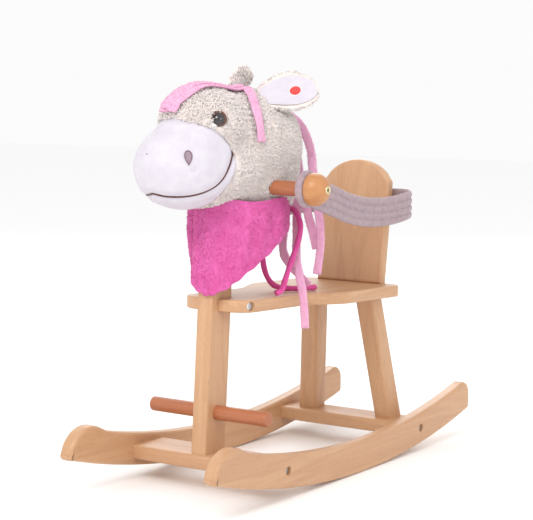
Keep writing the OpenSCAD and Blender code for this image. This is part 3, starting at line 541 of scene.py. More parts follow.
KNOB_X, KNOB_RADIUS, FERRULE_X = 143.0, 24.0, 164.2
sweep_angle = np.linspace(math.acos(-5 / KNOB_RADIUS), 0.215, 26)
ball = KNOB_RADIUS * np.stack([np.cos(sweep_angle), np.sin(sweep_angle)], 1)
knob_profile = np.concatenate([[[-6, 11.2]], [[-6, 21.4]], ball, [[22.4, 5.1], [19.2, 5.1]]])
for side, word in ((1, "left"), (-1, "right")):
    points, faces = turned(GRIP + [side * KNOB_X, 0, 0], (side, 0, 0), knob_profile)
    piece(f"knob_{word}", points, faces, KNOB_WOOD, slot="knob_wood", replaces=[f"handle_knob_{word}"], sharp=40)
ring_profile = [[0, 2.6], [1.0, 2.6], [2.8, 3.0], [3.6, 4.4], [3.3, 5.6], [2.4, 6.2], [1.2, 6.2], [1.0, 5.0], [0, 5.0]]
parts = [turned(GRIP + [side * FERRULE_X, 0, 0], (side, 0, 0), ring_profile, 32) for side in (1, -1)]
piece("knob_rings", *joined(parts), FERRULE, slot="ferrule", replaces=["knob_ferrules"], sharp=50)
# A near-black plug closes each ring's hole: painted shade for the dark inside of the hole.
hole_profile = [[0, 0.01], [0, 2.7], [2.2, 2.6], [2.0, 0.01]]
parts = [turned(GRIP + [side * (FERRULE_X - 0.6), 0, 0], (side, 0, 0), hole_profile, 24) for side in (1, -1)]
piece("knob_ring_hole_shade", *joined(parts), DARK, slot="steel", sharp=50)


def socket_head(start, axis, radius):
    """A domed head with a six-sided socket, seen in the bottom of a counterbore."""
    dome = [[0.0, radius], [2.2, radius], [3.0, radius - 0.8], [3.2, radius * 0.62]]
    head = turned(start, axis, dome, 36)
    socket = turned(start, axis, [[3.2, radius * 0.62], [3.2, radius * 0.5], [1.4, radius * 0.46], [1.4, 0.01]], 6)
    return [head, socket]


parts = [p for side in (1, -1) for y, z in BOLTS for p in socket_head((side * 132.8, y, z), (side, 0, 0), 6.0)]
piece("rocker_bolt_heads", *joined(parts), STEEL, slot="steel", replaces=["rocker_bolts"], sharp=40)
piece("cross_bolt_head", *joined(socket_head((CROSS_HALF - 5.6, CROSS_Y, CROSS_Z), (1, 0, 0), 6.2)), STEEL,
      slot="steel", replaces=["seat_cross_bolt"], sharp=40)
piece("cross_nut_head", *joined(socket_head((-CROSS_HALF + 5.6, CROSS_Y, CROSS_Z), (-1, 0, 0), 6.2)), STEEL,
      slot="steel", replaces=["seat_cross_nut"], sharp=40)
print("turned pieces done")

# %% [markdown]
# ## The head
# The head is a smooth blend of five ellipsoids. Each has a signed distance
# d = k(k - 1) / |p / r^2| with k = |p / r|, and two of them blend as
# min(a, b) - h(1 - h)s. A point on the skin is found by halving the step along a ray from the
# head's middle, for a whole array of rays at once. The rays are named by `theta`, the angle
# away from the nose, and `v`, the angle round the head from its left side.

# %% Head form
HEAD_TURN, HEAD_AXIS_Y = math.radians(-8.0), -158.0
HEAD_MIDDLE = np.array([0.0, -185.0, 500.0])
HEAD_FORMS = [((0, -114, 505), (76, 88, 82)), ((0, -200, 533), (62, 70, 57)), ((0, -178, 474), (70, 68, 50)),
              ((0, -242, 480), (67, 77, 63)), ((0, -108, 450), (68, 77, 58))]
BLEND = 18.0


def to_world(p):
    """Head coordinates to the horse's frame: a turn about the neck."""
    c, s = math.cos(HEAD_TURN), math.sin(HEAD_TURN)
    x, y = p[..., 0], p[..., 1] - HEAD_AXIS_Y
    return np.stack([x * c - y * s, x * s + y * c + HEAD_AXIS_Y, p[..., 2]], -1)


def head_distance(p):
    """The signed distance from points to the blended forms."""
    total = None
    for centre, radii in HEAD_FORMS:
        q = p - np.array(centre, float)
        k = np.linalg.norm(q / radii, axis=-1)
        d = k * (k - 1) / np.maximum(np.linalg.norm(q / np.array(radii, float) ** 2, axis=-1), 1e-9)
        if total is None:
            total = d
        else:
            h = np.clip(0.5 + 0.5 * (d - total) / BLEND, 0, 1)
            total = d * (1 - h) + total * h - BLEND * h * (1 - h)
    return total


def cast(theta, v):
    """Points on the head's skin for arrays of ray angles."""
    way = np.stack([np.sin(theta) * np.cos(v), -np.cos(theta), np.sin(theta) * np.sin(v)], -1)
    near, far = np.full(theta.shape, 20.0), np.full(theta.shape, 220.0)
    for _ in range(26):
        t = (near + far) / 2
        inside = head_distance(HEAD_MIDDLE + t[..., None] * way) < 0
        near, far = np.where(inside, t, near), np.where(inside, far, t)
    return HEAD_MIDDLE + near[..., None] * way


def grid_normals(p, round_columns=True):
    """Outward normals of a grid of points."""
    down = np.gradient(p, axis=0)
    if round_columns:
        across = np.roll(p, -1, 1) - np.roll(p, 1, 1)
    else:
        across = np.gradient(p, axis=1)
    return unit(np.cross(down, across))


# %% [markdown]
# The muzzle's pale velour meets the plush along a seam. The seam is a table of `theta` at
# several `v`, so both skins share that edge, and the plush swells just behind it. The mouth
# and the nostrils press shallow bell-shaped hollows, exp(-(d / w)^2), into the velour.

# %% Seam, muzzle and fur cover
SEAM_V = np.radians([-90, -60, -37, -9, 14, 32, 52, 72, 90])
SEAM_THETA = np.radians([70, 70, 72, 80, 68, 52, 37, 32, 31])


def seam_theta(v):
    folded = np.arcsin(np.clip(np.sin(v), -1, 1))
    return np.interp(folded, SEAM_V, SEAM_THETA)


def smooth_seam(v):
    """The seam table, averaged over a small stretch so that it has no corners."""
    return np.mean([seam_theta(v + d) for d in np.radians(np.linspace(-9, 9, 9))], 0)


COLUMNS = 240
v_ring = np.linspace(0, 2 * math.pi, COLUMNS, endpoint=False)[None, :]
seam = smooth_seam(v_ring)


def bell(distance, width):
    """1 at no distance, falling away over about `width`."""
    return np.exp(-(distance / width) ** 2)


MOUTH = np.array([(60.7, -202.2, 501.5), (64.6, -215.2, 480.3), (60.6, -230.5, 458.8), (53.3, -254.1, 445.9),
                  (45.5, -269.3, 441.4), (31.8, -286.2, 439), (21, -294.2, 439.4), (8.6, -301.2, 441),
                  (0, -304, 442)], float)
mouth_path = np.concatenate([MOUTH, MOUTH[-2::-1] * [-1, 1, 1]])


def nearest(points, path):
    """Distance from each point to a path of points, and how far along it the nearest one is."""
    a, b = path[:-1], path[1:]
    p = points.reshape(-1, 1, 3)
    t = np.clip(((p - a) * (b - a)).sum(-1) / ((b - a) ** 2).sum(-1), 0, 1)
    d = np.linalg.norm(p - (a + t[..., None] * (b - a)), axis=-1)
    best = d.argmin(1)
    rows = np.arange(len(d))
    return d[rows, best].reshape(points.shape[:-1]), (best + t[rows, best]).reshape(points.shape[:-1])


def smooth_path(points, per=8):
    """A Catmull-Rom curve through given points."""
    p = np.asarray(points, float)
    q = np.concatenate([[2 * p[0] - p[1]], p, [2 * p[-1] - p[-2]]])
    t = np.linspace(0, 1, per, endpoint=False)[:, None]
    spans = [0.5 * (2 * b + (c - a) * t + (2 * a - 5 * b + 4 * c - d) * t ** 2 + (3 * b - a - 3 * c + d) * t ** 3)
             for a, b, c, d in zip(q[:-3], q[1:-2], q[2:-1], q[3:])]
    return np.concatenate(spans + [p[-1:]])


mouth_curve = smooth_path(mouth_path, 6)
NOSTRIL_AT = np.array([53.2, -285.3, 496.4])
PINCH = np.array([58.0, -278.0, 477.0])
muzzle_rows = np.linspace(0.004, 1, 110)[:, None] ** 0.9
muzzle = cast(muzzle_rows * seam, v_ring + 0 * muzzle_rows)
normal = grid_normals(muzzle)
if (normal[60] * (muzzle[60] - HEAD_MIDDLE)).sum(-1).mean() < 0:
    normal = -normal
mouth_gap, _ = nearest(muzzle, mouth_curve)
lift = -2.2 * bell(mouth_gap, 3.0)
lift = lift + 1.4 * bell(mouth_gap - 12, 7.0)
for flip in (1, -1):
    lift = lift - 2.2 * bell(np.linalg.norm(muzzle - PINCH * [flip, 1, 1], axis=-1), 6.0)
    lift = lift - 1.4 * bell(np.linalg.norm(muzzle - NOSTRIL_AT * [flip, 1, 1], axis=-1), 9.0)
lift = lift - 3.0 * bell((1 - muzzle_rows) * seam * 90, 5.0)
muzzle = muzzle + lift[..., None] * normal
print("muzzle", muzzle.shape)

fur_rows = np.linspace(0, 1, 170)[:, None]
fur_theta = seam + (math.radians(179.6) - seam) * fur_rows
fur = cast(fur_theta, v_ring + 0 * fur_rows)
fur_normal = grid_normals(fur)
if (fur_normal[60] * (fur[60] - HEAD_MIDDLE)).sum(-1).mean() < 0:
    fur_normal = -fur_normal
swell = 1.6 * (1 - np.exp(-fur_rows * 12)) - 2.4 * bell(fur_rows * 60, 1.2)
EYE_AT = np.array([54.4, -225.4, 548.6])
for flip in (1, -1):
    swell = swell - 6.0 * bell(np.linalg.norm(fur - EYE_AT * [flip, 1, 1], axis=-1), 13.0)
    swell = swell + 2.2 * bell(np.linalg.norm(fur - (EYE_AT + [2, -4, 14]) * [flip, 1, 1], axis=-1), 12.0)
rng = np.random.default_rng(7)
lumps = rng.normal(size=(40, 3))
wave = sum(np.sin((fur @ (k / np.linalg.norm(k))) * (0.05 + 0.16 * i / 40) + i) for i, k in enumerate(lumps)) / 9.0
fur = fur + (swell + 0.55 * wave)[..., None] * fur_normal


def skin(name, grid, material, slot, replaces):
    """A skin from a grid that closes round its columns and is gathered to a point at one end."""
    rows, columns = grid.shape[:2]
    faces = quads(rows, columns, round_columns=True)
    made = piece(name, to_world(grid).reshape(-1, 3), faces, material, slot=slot, replaces=replaces)
    fix_winding(made)
    return made


muzzle_skin = skin("muzzle", muzzle, VELOUR, "velour", ["muzzle_cover", "mouth_stitching", "nostrils"])
fur_skin = skin("head_fur", fur, PLUSH, "plush", ["head_fur_cover", "head_stuffing"])

# %% [markdown]
# ## Pile
# Plush pile is thousands of short curls. A curl bends over by `bend` radians along its
# length, so that at a share t its tip has moved
# (sin(bend t), 1 - cos(bend t)) / bend along the normal and along a random tangent.

# %% Curls
def surface_points(grid, normals, count, seed, keep=None, round_columns=True):
    """Random places on a grid, spread evenly over its area."""
    g = np.random.default_rng(seed)
    p = np.concatenate([grid, grid[:, :1]], 1) if round_columns else grid
    n = np.concatenate([normals, normals[:, :1]], 1) if round_columns else normals
    area = np.linalg.norm(np.cross(p[1:, :-1] - p[:-1, :-1], p[:-1, 1:] - p[:-1, :-1]), axis=-1)
    if keep is not None:
        area = area * keep[:area.shape[0], :area.shape[1]]
    pick = g.choice(area.size, count, p=area.ravel() / area.sum())
    i, j = np.divmod(pick, area.shape[1])
    a, b = g.random((2, count, 1))

    def at(q):
        return ((1 - a) * ((1 - b) * q[i, j] + b * q[i, j + 1]) + a * ((1 - b) * q[i + 1, j] + b * q[i + 1, j + 1]))
    return at(p), unit(at(n))


def clump_pull(roots, spacing, seed):
    """For each root, a vector towards the middle of its own small tuft, in units of `spacing`."""
    g = np.random.default_rng(seed)
    cells = np.floor(roots / spacing + 0.35 * np.sin(roots[:, [1, 2, 0]] / (1.3 * spacing)))
    _, tuft = np.unique(cells, axis=0, return_inverse=True)
    tuft = tuft.ravel()
    count = np.bincount(tuft)
    middle = np.stack([np.bincount(tuft, roots[:, k]) / count for k in range(3)], 1)
    swirl = g.normal(size=(len(count), 3))
    return (middle[tuft] - roots) / spacing, swirl[tuft]


def curls(name, roots, normals, length, width, bend, seed, material, body="horse", slot="plush", lie=None, tuft=0.0):
    """One mesh of bent, tapering, three-sided curls, gathered in tufts `tuft` millimetres wide."""
    g = np.random.default_rng(seed)
    count = len(roots)
    tangent = unit(np.cross(normals, unit(g.normal(size=(count, 3)))))
    if tuft:
        pull, swirl = clump_pull(roots, tuft, seed)
        tangent = 0.35 * tangent + 1.6 * pull + 0.55 * swirl
    if lie is not None:
        tangent = unit(tangent + lie)
        tangent = unit(tangent - (tangent * normals).sum(1, keepdims=True) * normals)
    side = np.cross(normals, tangent)
    size = length * g.uniform(0.65, 1.25, (count, 1))
    turn = bend * g.uniform(0.6, 1.3, (count, 1))
    rings = []
    for t, w in ((0.0, 1.0), (0.45, 0.85), (0.8, 0.5)):
        middle = roots - 0.5 * normals + size * (np.sin(turn * t) * normals + (1 - np.cos(turn * t)) * tangent) / turn
        ahead = np.cos(turn * t) * normals + np.sin(turn * t) * tangent
        across = np.cross(side, ahead)
        for k in range(3):
            a = 2 * math.pi * k / 3
            rings.append(middle + width * w * (math.cos(a) * side + math.sin(a) * across))
    t = 1.0
    rings.append(roots - 0.5 * normals + size * (np.sin(turn * t) * normals + (1 - np.cos(turn * t)) * tangent) / turn)
    points = np.stack(rings, 1)
    one = []
    for r in range(2):
        for k in range(3):
            l = (k + 1) % 3
            one += [[3 * r + k, 3 * r + l, 3 * r + 3 + l], [3 * r + k, 3 * r + 3 + l, 3 * r + 3 + k]]
    one += [[6, 7, 9], [7, 8, 9], [8, 6, 9]]
    faces = (np.array(one)[None] + 10 * np.arange(count)[:, None, None]).reshape(-1, 3)
    return piece(name, points.reshape(-1, 3), faces, material, body, slot)


PILE = 4
for part in range(PILE):
    roots, ways = surface_points(fur, fur_normal, 12000, 100 + part)
    spots = np.minimum.reduce([np.linalg.norm(roots - EYE_AT * [s, 1, 1], axis=1) for s in (1, -1)])
    keep = spots > 11.5
    roots, ways = roots[keep], ways[keep]
    lie = np.array([0.0, 0.2, -0.15])
    curls(f"head_pile_{part}", to_world(roots), unit(to_world(roots + ways) - to_world(roots)), 7.6, 0.66, 2.5,
          200 + part, PLUSH_TUFT, lie=lie, tuft=6.5)
print("pile laid")

# %% [markdown]
# ## Face
# Stitches and lids are tubes along a path. `tube` carries a ring of points along any curve,
# held square to it and turned as little as possible.

# %% Tubes
def frames(path, hint):
    """Two directions square to the path at each of its points, the first nearest to `hint`."""
    ahead = unit(np.gradient(path, axis=0))
    hint = np.broadcast_to(np.asarray(hint, float), path.shape)
    a = unit(hint - (hint * ahead).sum(1, keepdims=True) * ahead)
    return a, np.cross(ahead, a)


def tube(path, radius, hint=(0, 0, 1), count=10, flatten=1.0):
    """A tube with closed ends; `radius` may change along the path."""
    path = np.asarray(path, float)
    a, b = frames(path, hint)
    radius = np.broadcast_to(radius, len(path))[:, None, None]
    turn = np.linspace(0, 2 * math.pi, count, endpoint=False)[None, :, None]
    points = path[:, None] + radius * (np.cos(turn) * a[:, None] * flatten + np.sin(turn) * b[:, None])
    n = len(path)
    faces = quads(n, count, round_columns=True).tolist()
    faces += [list(range(count))[::-1], [(n - 1) * count + j for j in range(count)]]
    return points.reshape(-1, 3), faces


def settle(points, above):
    """Move points onto the head's skin, `above` it."""
    p = np.array(points, float)
    for _ in range(12):
        d = head_distance(p)
        e = 0.5
        slope = np.stack([head_distance(p + e * axis) - d for axis in np.eye(3)], -1) / e
        p = p - ((d - above) / np.maximum((slope ** 2).sum(-1), 1e-6))[..., None] * slope
    return p, unit(slope)


mouth_line, _ = settle(mouth_curve, -0.7)
piece("mouth_line", *tube(to_world(mouth_line), 1.0), STITCH, slot="thread")

# %% Nostrils
def patch(outline, above, thick=1.0):
    """A small applique: rings from its edge to its middle, laid on the skin and slightly domed."""
    centre = outline.mean(0)
    rings = []
    for f, h in ((1.0, 0.0), (1.0, 0.7), (0.93, 1.0), (0.8, 1.05), (0.55, 1.1), (0.25, 1.15), (0.02, 1.15)):
        p, _ = settle(centre + (outline - centre) * f, above + h * thick)
        rings.append(p)
    return np.concatenate(rings), quads(len(rings), len(outline), round_columns=True)


def ring_tube(edge, radius):
    """A closed thin tube along a ring of points."""
    ahead = unit(np.roll(edge, -1, 0) - np.roll(edge, 1, 0))
    a = unit(edge - edge.mean(0))
    b = np.cross(ahead, a)
    turn = np.linspace(0, 2 * math.pi, 8, endpoint=False)[None, :, None]
    return (edge[:, None] + radius * (np.cos(turn) * a[:, None] + np.sin(turn) * b[:, None])).reshape(-1, 3)


parts, lines, shade_rims = [], [], []
for flip in (1, -1):
    a = np.linspace(0, 2 * math.pi, 40, endpoint=False)
    fall = (1 - np.cos(a)) / 2
    _, way = settle(NOSTRIL_AT[None], 0.0)
    across = unit(np.cross(way[0], [0.0, 0.0, 1.0]))
    upwards = np.cross(across, way[0])
    height = 10.5 * np.cos(a) - 1.0
    outline = NOSTRIL_AT + height[:, None] * upwards + (6.6 * np.sin(a) * (1 - 0.72 * fall ** 1.6))[:, None] * across
    parts.append(patch(outline * [flip, 1, 1], -1.2))
    # A thin darker tube round the nostril's edge is painted shade, for the shadow inside its rim.
    edge, _ = settle(outline[::2] * [flip, 1, 1], 0.1)
    shade_rims.append((to_world(ring_tube(edge, 0.75)), quads(20, 8, round_rows=True, round_columns=True)))
    corner = np.array([(56.4, -283.0, 485.5), (57.2, -280.0, 480.0), (58.4, -276.0, 474.0), (59.4, -272.8, 468.2)])
    line, _ = settle(smooth_path(corner, 5) * [flip, 1, 1], -2.2)
    lines.append(tube(to_world(line), 0.8))
points, faces = joined(parts)
nostril_pieces = piece("nostril_patches", to_world(points), faces, NOSTRIL, slot="nostril_felt")
fix_winding(nostril_pieces)
nostril_edge_shades = piece("nostril_edge_shades", *joined(shade_rims), NOSTRIL_EDGE_SHADE, slot="nostril_felt")
fix_winding(nostril_edge_shades)
piece("nostril_lines", *joined(lines), PALE_STITCH, slot="thread")

# %% Eyes
parts, lids, pupils = [], [], []
for flip in (1, -1):
    at, way = settle((EYE_AT * [flip, 1, 1])[None], -3.0)
    at, way = at[0], way[0]
    way = unit(way + np.array([0.0, -0.35, 0.0]))
    at = at + 0.6 * way
    dome = [[7.6 * math.sin(t), 9.4 * math.cos(t)] for t in np.linspace(-0.2, math.pi / 2 - 0.001, 14)]
    p, f = turned(at, way, dome, 40)
    parts.append((to_world(p), f))
    p, f = turned(at, way, [[-1.5, 10.9], [1.2, 10.9], [2.6, 10.3], [3.4, 9.3], [3.2, 8.4], [0.5, 8.4]], 44)
    pupils.append((to_world(p), f))
    a = unit(np.cross(way, [0.0, 0.0, 1.0]))
    b = np.cross(a, way)
    lid_turn = np.radians(np.linspace(-60, 240, 40))[:, None]
    lid = at + 2.2 * way + 11.0 * (np.cos(lid_turn) * a + np.sin(lid_turn) * b)
    lids.append(tube(to_world(lid), 1.35 * np.sin(np.linspace(0.15, math.pi - 0.15, 40)) ** 0.5, way))
points, faces = joined(parts)
eyeballs = piece("eyeballs", points, faces, EYE, slot="eye_plastic", replaces=["eyes"], sharp=60)
fix_winding(eyeballs)
iris = piece("eye_irises", *joined(pupils), IRIS, slot="eye_plastic", sharp=60)
fix_winding(iris)
piece("eye_lids", *joined(lids), LID, slot="thread")
print("face done")

# %% [markdown]
# ## Ears
# An ear is a leaf: its half-width at a share f of its length is
# w sin(pi (0.1 + 0.9 f)^1.35)^0.52. The leaf is cupped across and bent along, with plush on
# the back and velour inside. EARS gives each root, and its turns about x, y and z in degrees.

# %% Ears
def turn_x(a):
    c, s = math.cos(a), math.sin(a)
    return np.array([[1, 0, 0], [0, c, -s], [0, s, c]])


def turn_y(a):
    c, s = math.cos(a), math.sin(a)
    return np.array([[c, 0, s], [0, 1, 0], [-s, 0, c]])


def turn_z(a):
    c, s = math.cos(a), math.sin(a)
    return np.array([[c, -s, 0], [s, c, 0], [0, 0, 1]])


EARS = {"left": (np.array([37.0, -118.0, 578.0]), (52, -9, 55)),
        "right": (np.array([-34.0, -126.0, 564.0]), (-60, -34, 104))}
EAR_LENGTH, EAR_WIDTH = 92.0, 66.0


def ear_point(word, along, across, above):
    """A point of an ear, from its own length, width and thickness to the horse's frame."""
    root, (ax, ay, az) = EARS[word]
    p = np.stack(np.broadcast_arrays(along, across, above), -1).astype(float)
    m = turn_z(math.radians(az)) @ turn_y(math.radians(ay)) @ turn_x(math.radians(ax))
    return to_world(root + p @ m.T)


def ear_sheet(word, f, s, height):
    """The leaf at share f of its length and share s, from -1 to 1, of its half-width."""
    half = EAR_WIDTH / 2 * np.sin(math.pi * np.clip(0.1 + 0.9 * f, 0, 1) ** 1.35) ** 0.52
    along = -4 + EAR_LENGTH * f
    cup = 7.0 * s ** 2 * np.sin(math.pi * np.clip(f, 0, 1)) ** 0.5 - 3.5 * (f - 0.5) ** 2
    return ear_point(word, along, half * s, cup + height)


for word in EARS:
    f = np.linspace(0.02, 0.995, 46)[:, None]
    turn = np.linspace(0, 2 * math.pi, 56, endpoint=False)[None, :]
    s, thick = np.cos(turn), np.sin(turn)
    outside = ear_sheet(word, f, s * np.ones_like(f), np.where(thick < 0, 9.5, 1.2) * thick)
    back = piece(f"ear_back_{word}", outside.reshape(-1, 3), joined([(outside, quads(46, 56, round_columns=True))])[1],
                 PLUSH, slot="plush", replaces=[f"ear_{word}"])
    fix_winding(back)
    normals = unit(outside - outside.mean(1, keepdims=True))
    gate = np.ones((45, 56))
    gate[:, 3:26] = 0
    roots, ways = surface_points(outside, normals, 3600, 300 + len(word), gate)
    curls(f"ear_pile_{word}", roots, ways, 6.8, 0.64, 2.5, 310 + len(word), PLUSH_TUFT, lie=np.zeros(3), tuft=6.0)
    g = np.linspace(0.03, 0.965, 40)[:, None]
    t = np.linspace(-0.8, 0.8, 30)[None, :]
    top = ear_sheet(word, g, t + 0 * g, 2.6 - 1.6 * np.abs(t) ** 6 + 0.5 * np.sin(9 * g + 2 * t))
    under = ear_sheet(word, g, t + 0 * g, 0.6 + 0 * t)
    sheet_points = np.concatenate([top.reshape(-1, 3), under.reshape(-1, 3)])
    lining = piece(f"ear_inside_{word}", sheet_points,
                   np.concatenate([quads(40, 30), quads(40, 30, start=1200)[:, ::-1]]), VELOUR, slot="velour",
                   replaces=[f"ear_lining_{word}"])
    fix_winding(lining)

# %% Ear button
def disc(radius_a, radius_b, low, high, tilt=0.5):
    """A thin oval pad on the left ear, over the press switch."""
    a = np.linspace(0, 2 * math.pi, 48, endpoint=False)
    rings = []
    for f, h in ((1.0, low), (1.0, high - 0.4), (0.95, high), (0.6, high + 0.25), (0.02, high + 0.35)):
        x, y = f * radius_a * np.cos(a), f * radius_b * np.sin(a)
        rings.append(ear_point("left", 52 + x * math.cos(tilt) - y * math.sin(tilt),
                               x * math.sin(tilt) + y * math.cos(tilt), h + 0 * a))
    return np.concatenate(rings), quads(5, 48, round_columns=True)


button = piece("button_pad", *disc(9.0, 7.4, 1.0, 4.6), RED_PRINT, body="button", slot="button_print",
               replaces=["ear_button"])
rim = piece("button_rim", *disc(10.0, 8.4, 0.8, 4.0), WHITE_PRINT, body="button", slot="button_print")
base = piece("switch_base", *disc(7.0, 6.0, -1.5, 0.2), DARK, slot="grey_plastic", replaces=["ear_switch_base"])
fix_winding(base)
fix_winding(button)
fix_winding(rim)
print("ears done")

# %% [markdown]
# ## Mane
# The mane is cut fleece strips. A strip is a flat band carried along a given path. It
# twists and ripples a little, and short curls along it give a frayed edge.

# %% Fleece strips
def band(path, width, thick, side, twist=0.0, ripple=0.0, seed=0):
    """A flat band: returns the grid of its outline, row by row along the path."""
    a, b = frames(path, side)
    n = len(path)
    t = np.linspace(0, 1, n)[:, None]
    g = np.random.default_rng(seed)
    phase, pace = g.uniform(0, 6), g.uniform(1.5, 2.6)
    angle = twist * t + ripple * np.sin(2 * math.pi * pace * t + phase)
    c, d = np.cos(angle) * a + np.sin(angle) * b, -np.sin(angle) * a + np.cos(angle) * b
    turn = np.linspace(0, 2 * math.pi, 14, endpoint=False)[None, :, None]
    x = np.sign(np.cos(turn)) * np.abs(np.cos(turn)) ** 0.5 * width / 2
    y = np.sign(np.sin(turn)) * np.abs(np.sin(turn)) ** 0.7 * thick / 2
    edge = 1 + 0.03 * np.sin(40 * t + phase)[:, :, None]
    return path[:, None] + edge * x * c[:, None] + y * d[:, None]


def path_length(path):
    return float(np.linalg.norm(np.diff(path, axis=0), axis=1).sum())


def fleece_strip(name, points, width, side, twist=0.0, ripple=0.0, seed=0, thick=4.0, to_head=False, replaces=()):
    path = smooth_path(points, 9)
    if to_head:
        path = to_world(path)
    grid = band(path, width, thick, side, twist, ripple, seed)
    rows, columns = grid.shape[:2]
    caps = [list(range(columns))[::-1], [(rows - 1) * columns + j for j in range(columns)]]
    made = piece(name, grid.reshape(-1, 3), quads(rows, columns, round_columns=True).tolist() + caps, FLEECE,
                 slot="mane_fleece", replaces=list(replaces))
    fix_winding(made)
    ways = unit(grid - grid.mean(1, keepdims=True))
    roots, ways = surface_points(grid, ways, int(path_length(path) * width * 0.30), 500 + seed)
    fuzz = curls(f"{name}_nap", roots, ways, 2.3, 0.45, 1.8, 600 + seed, FLEECE, slot="mane_fleece")
    return made


FORELOCK_Y, FORELOCK_X = (-124, -150, -180, -208, -232, -252, -268, -280), (0.0, 13.5, -13.5)
for n, x in enumerate(FORELOCK_X):
    points = [(x * (1 - 0.35 * (y < -250)) - 4.0 * (y < -250), y, 600 - 0.3 * abs(x) - 30 * (y < -250))
              for y in FORELOCK_Y]
    laid, _ = settle(points, 9.5 if n == 0 else 7.6)
    fleece_strip(f"forelock_{n}", laid, 17.0, (1, 0.1, 0), 0.0, 0.06, 10 + n, to_head=True,
                 replaces=["forelock"] if n == 0 else ())
TEMPLE = [(18, -128, 594), (40, -141, 579), (56.5, -152, 553), (63.6, -154, 535), (66.5, -153.5, 514)]
for n, flip in enumerate((1, -1)):
    laid, _ = settle(np.array(TEMPLE) * [flip, 1, 1], 8.0)
    fleece_strip(f"temple_{n}", laid, 16.0, (0, 1, 0.2), 0.0, 0.04, 20 + n, to_head=True,
                 replaces=["temple_strips"] if n == 0 else ())
NECK_STRIPS = [
    [(16, -33, 548), (32, -28, 528), (43, -29, 498), (50, -31, 466), (57, -30, 432), (66, -30, 400),
     (74, -28, 372), (80, -28, 348)],
    [(34, -36, 552), (54, -30, 532), (68, -28, 500), (74, -30, 466), (80, -32, 430), (88, -32, 396),
     (90, -32, 354), (84, -32, 310)],
    [(20, -19, 470), (18, -20, 430), (20, -26, 384), (24, -34, 340), (42, -30, 314), (60, -16, 290)],
    [(38, -22, 460), (42, -24, 420), (48, -34, 376), (56, -46, 334), (68, -54, 304), (78, -60, 276),
     (83, -62, 230)],
    [(-16, -30, 548), (-34, -21, 528), (-46, -22, 498), (-52, -28, 466), (-58, -30, 432), (-66, -30, 400),
     (-74, -28, 372), (-80, -28, 348)],
    [(-34, -36, 552), (-54, -30, 532), (-68, -28, 500), (-74, -30, 466), (-80, -32, 430), (-88, -32, 396),
     (-90, -32, 354), (-84, -32, 310)]]
for n, points in enumerate(NECK_STRIPS):
    fleece_strip(f"mane_{n}", points, 13.0, (1 if n < 4 else -1, 0.6, 0), 0.25, 0.22, 30 + n,
                 replaces=["mane_strips"] if n == 0 else ())
print("mane done")

# %% [markdown]
# ## Scarf and ties
# The scarf is a folded triangle round the neck: a cone-like sheet that is wide at the neck
# and narrows to a blunt tip over the post. Folds are cosines that fade towards its hem. Where
# it meets the post, its place is the soft minimum -k log(exp(-a / k) + exp(-b / k)) of its own
# place a and the post's face b.

# %% Scarf
SCARF_TIP = np.array([4.0, -200.0, 290.0])
turn = np.linspace(-math.pi, math.pi, 190)[None, :]
drop = np.linspace(0, 1, 70)[:, None]
front = (1 + np.cos(turn)) / 2
ring_x = 74 * np.sin(turn) + 8 * front
ring_y = -122 - 80 * np.cos(turn)
top_z = 430 + 2.0 * np.sin(5 * turn)
hem_z = 396 - (396 - SCARF_TIP[2]) * front ** 1.5
tip_pull = front ** 2.6
hem_x = ring_x * (0.96 - 0.40 * tip_pull) + SCARF_TIP[0] * tip_pull + 6 * np.sin(turn) * front
hem_y = ring_y + (SCARF_TIP[1] - ring_y) * 0.72 * tip_pull + 6 * (1 - front)
fold = (2.2 * np.cos(7 * turn + 0.6) + 1.4 * np.cos(15 * turn + 1.0)) * np.sin(math.pi * drop) ** 0.7 * (0.4 + front)
belly = 3 * np.sin(math.pi * drop ** 0.8) * front
ease = drop ** 1.25
x = ring_x + (hem_x - ring_x) * ease + (fold + belly) * np.sin(turn)
y = ring_y + (hem_y - ring_y) * ease - (fold + belly) * np.cos(turn)
z = top_z + (hem_z - top_z) * drop + 1.2 * np.sin(21 * turn) * drop ** 6
beside = np.maximum(0, np.abs(x) - 15.5)
over_post = post_middle(z) - POST_DEPTH / 2 - 5.5 + 0.05 * beside ** 2 + 400.0 * (np.cos(turn) < 0)
SOFTNESS = 2.0
y = -SOFTNESS * np.logaddexp(-y / SOFTNESS, -over_post / SOFTNESS)
outer = np.stack([x, y, z], -1)
inward = np.stack([-np.sin(turn) + 0 * drop, np.cos(turn) + 0 * drop, 0 * drop * turn], -1)
inner = outer + 2.2 * inward
rows, columns = outer.shape[:2]
shell = np.concatenate([outer, inner[::-1]], 0)
scarf = piece("scarf_wrap", shell.reshape(-1, 3), quads(2 * rows, columns, round_rows=True), SCARF,
              slot="scarf_cloth", replaces=["scarf"])
fix_winding(scarf)
out_normals = grid_normals(outer, False)
if (out_normals * inward).sum() > 0:
    out_normals = -out_normals
roots, ways = surface_points(outer, out_normals, 9000, 700, round_columns=False)
nap = curls("scarf_nap", roots, ways, 2.6, 0.36, 1.5, 701, SCARF, slot="scarf_cloth")
corner = outer[:-1, :-1]
knot_points, knot_faces = turned((-10, -46, 404), (1, 0, 0),
                                 [[0, 3], [2, 7], [7, 9.2], [13, 8.0], [19, 9.4], [25, 7], [27, 3]], 36)
piece("scarf_knot_lump", knot_points, knot_faces, SCARF, slot="scarf_cloth", replaces=["scarf_knot"])

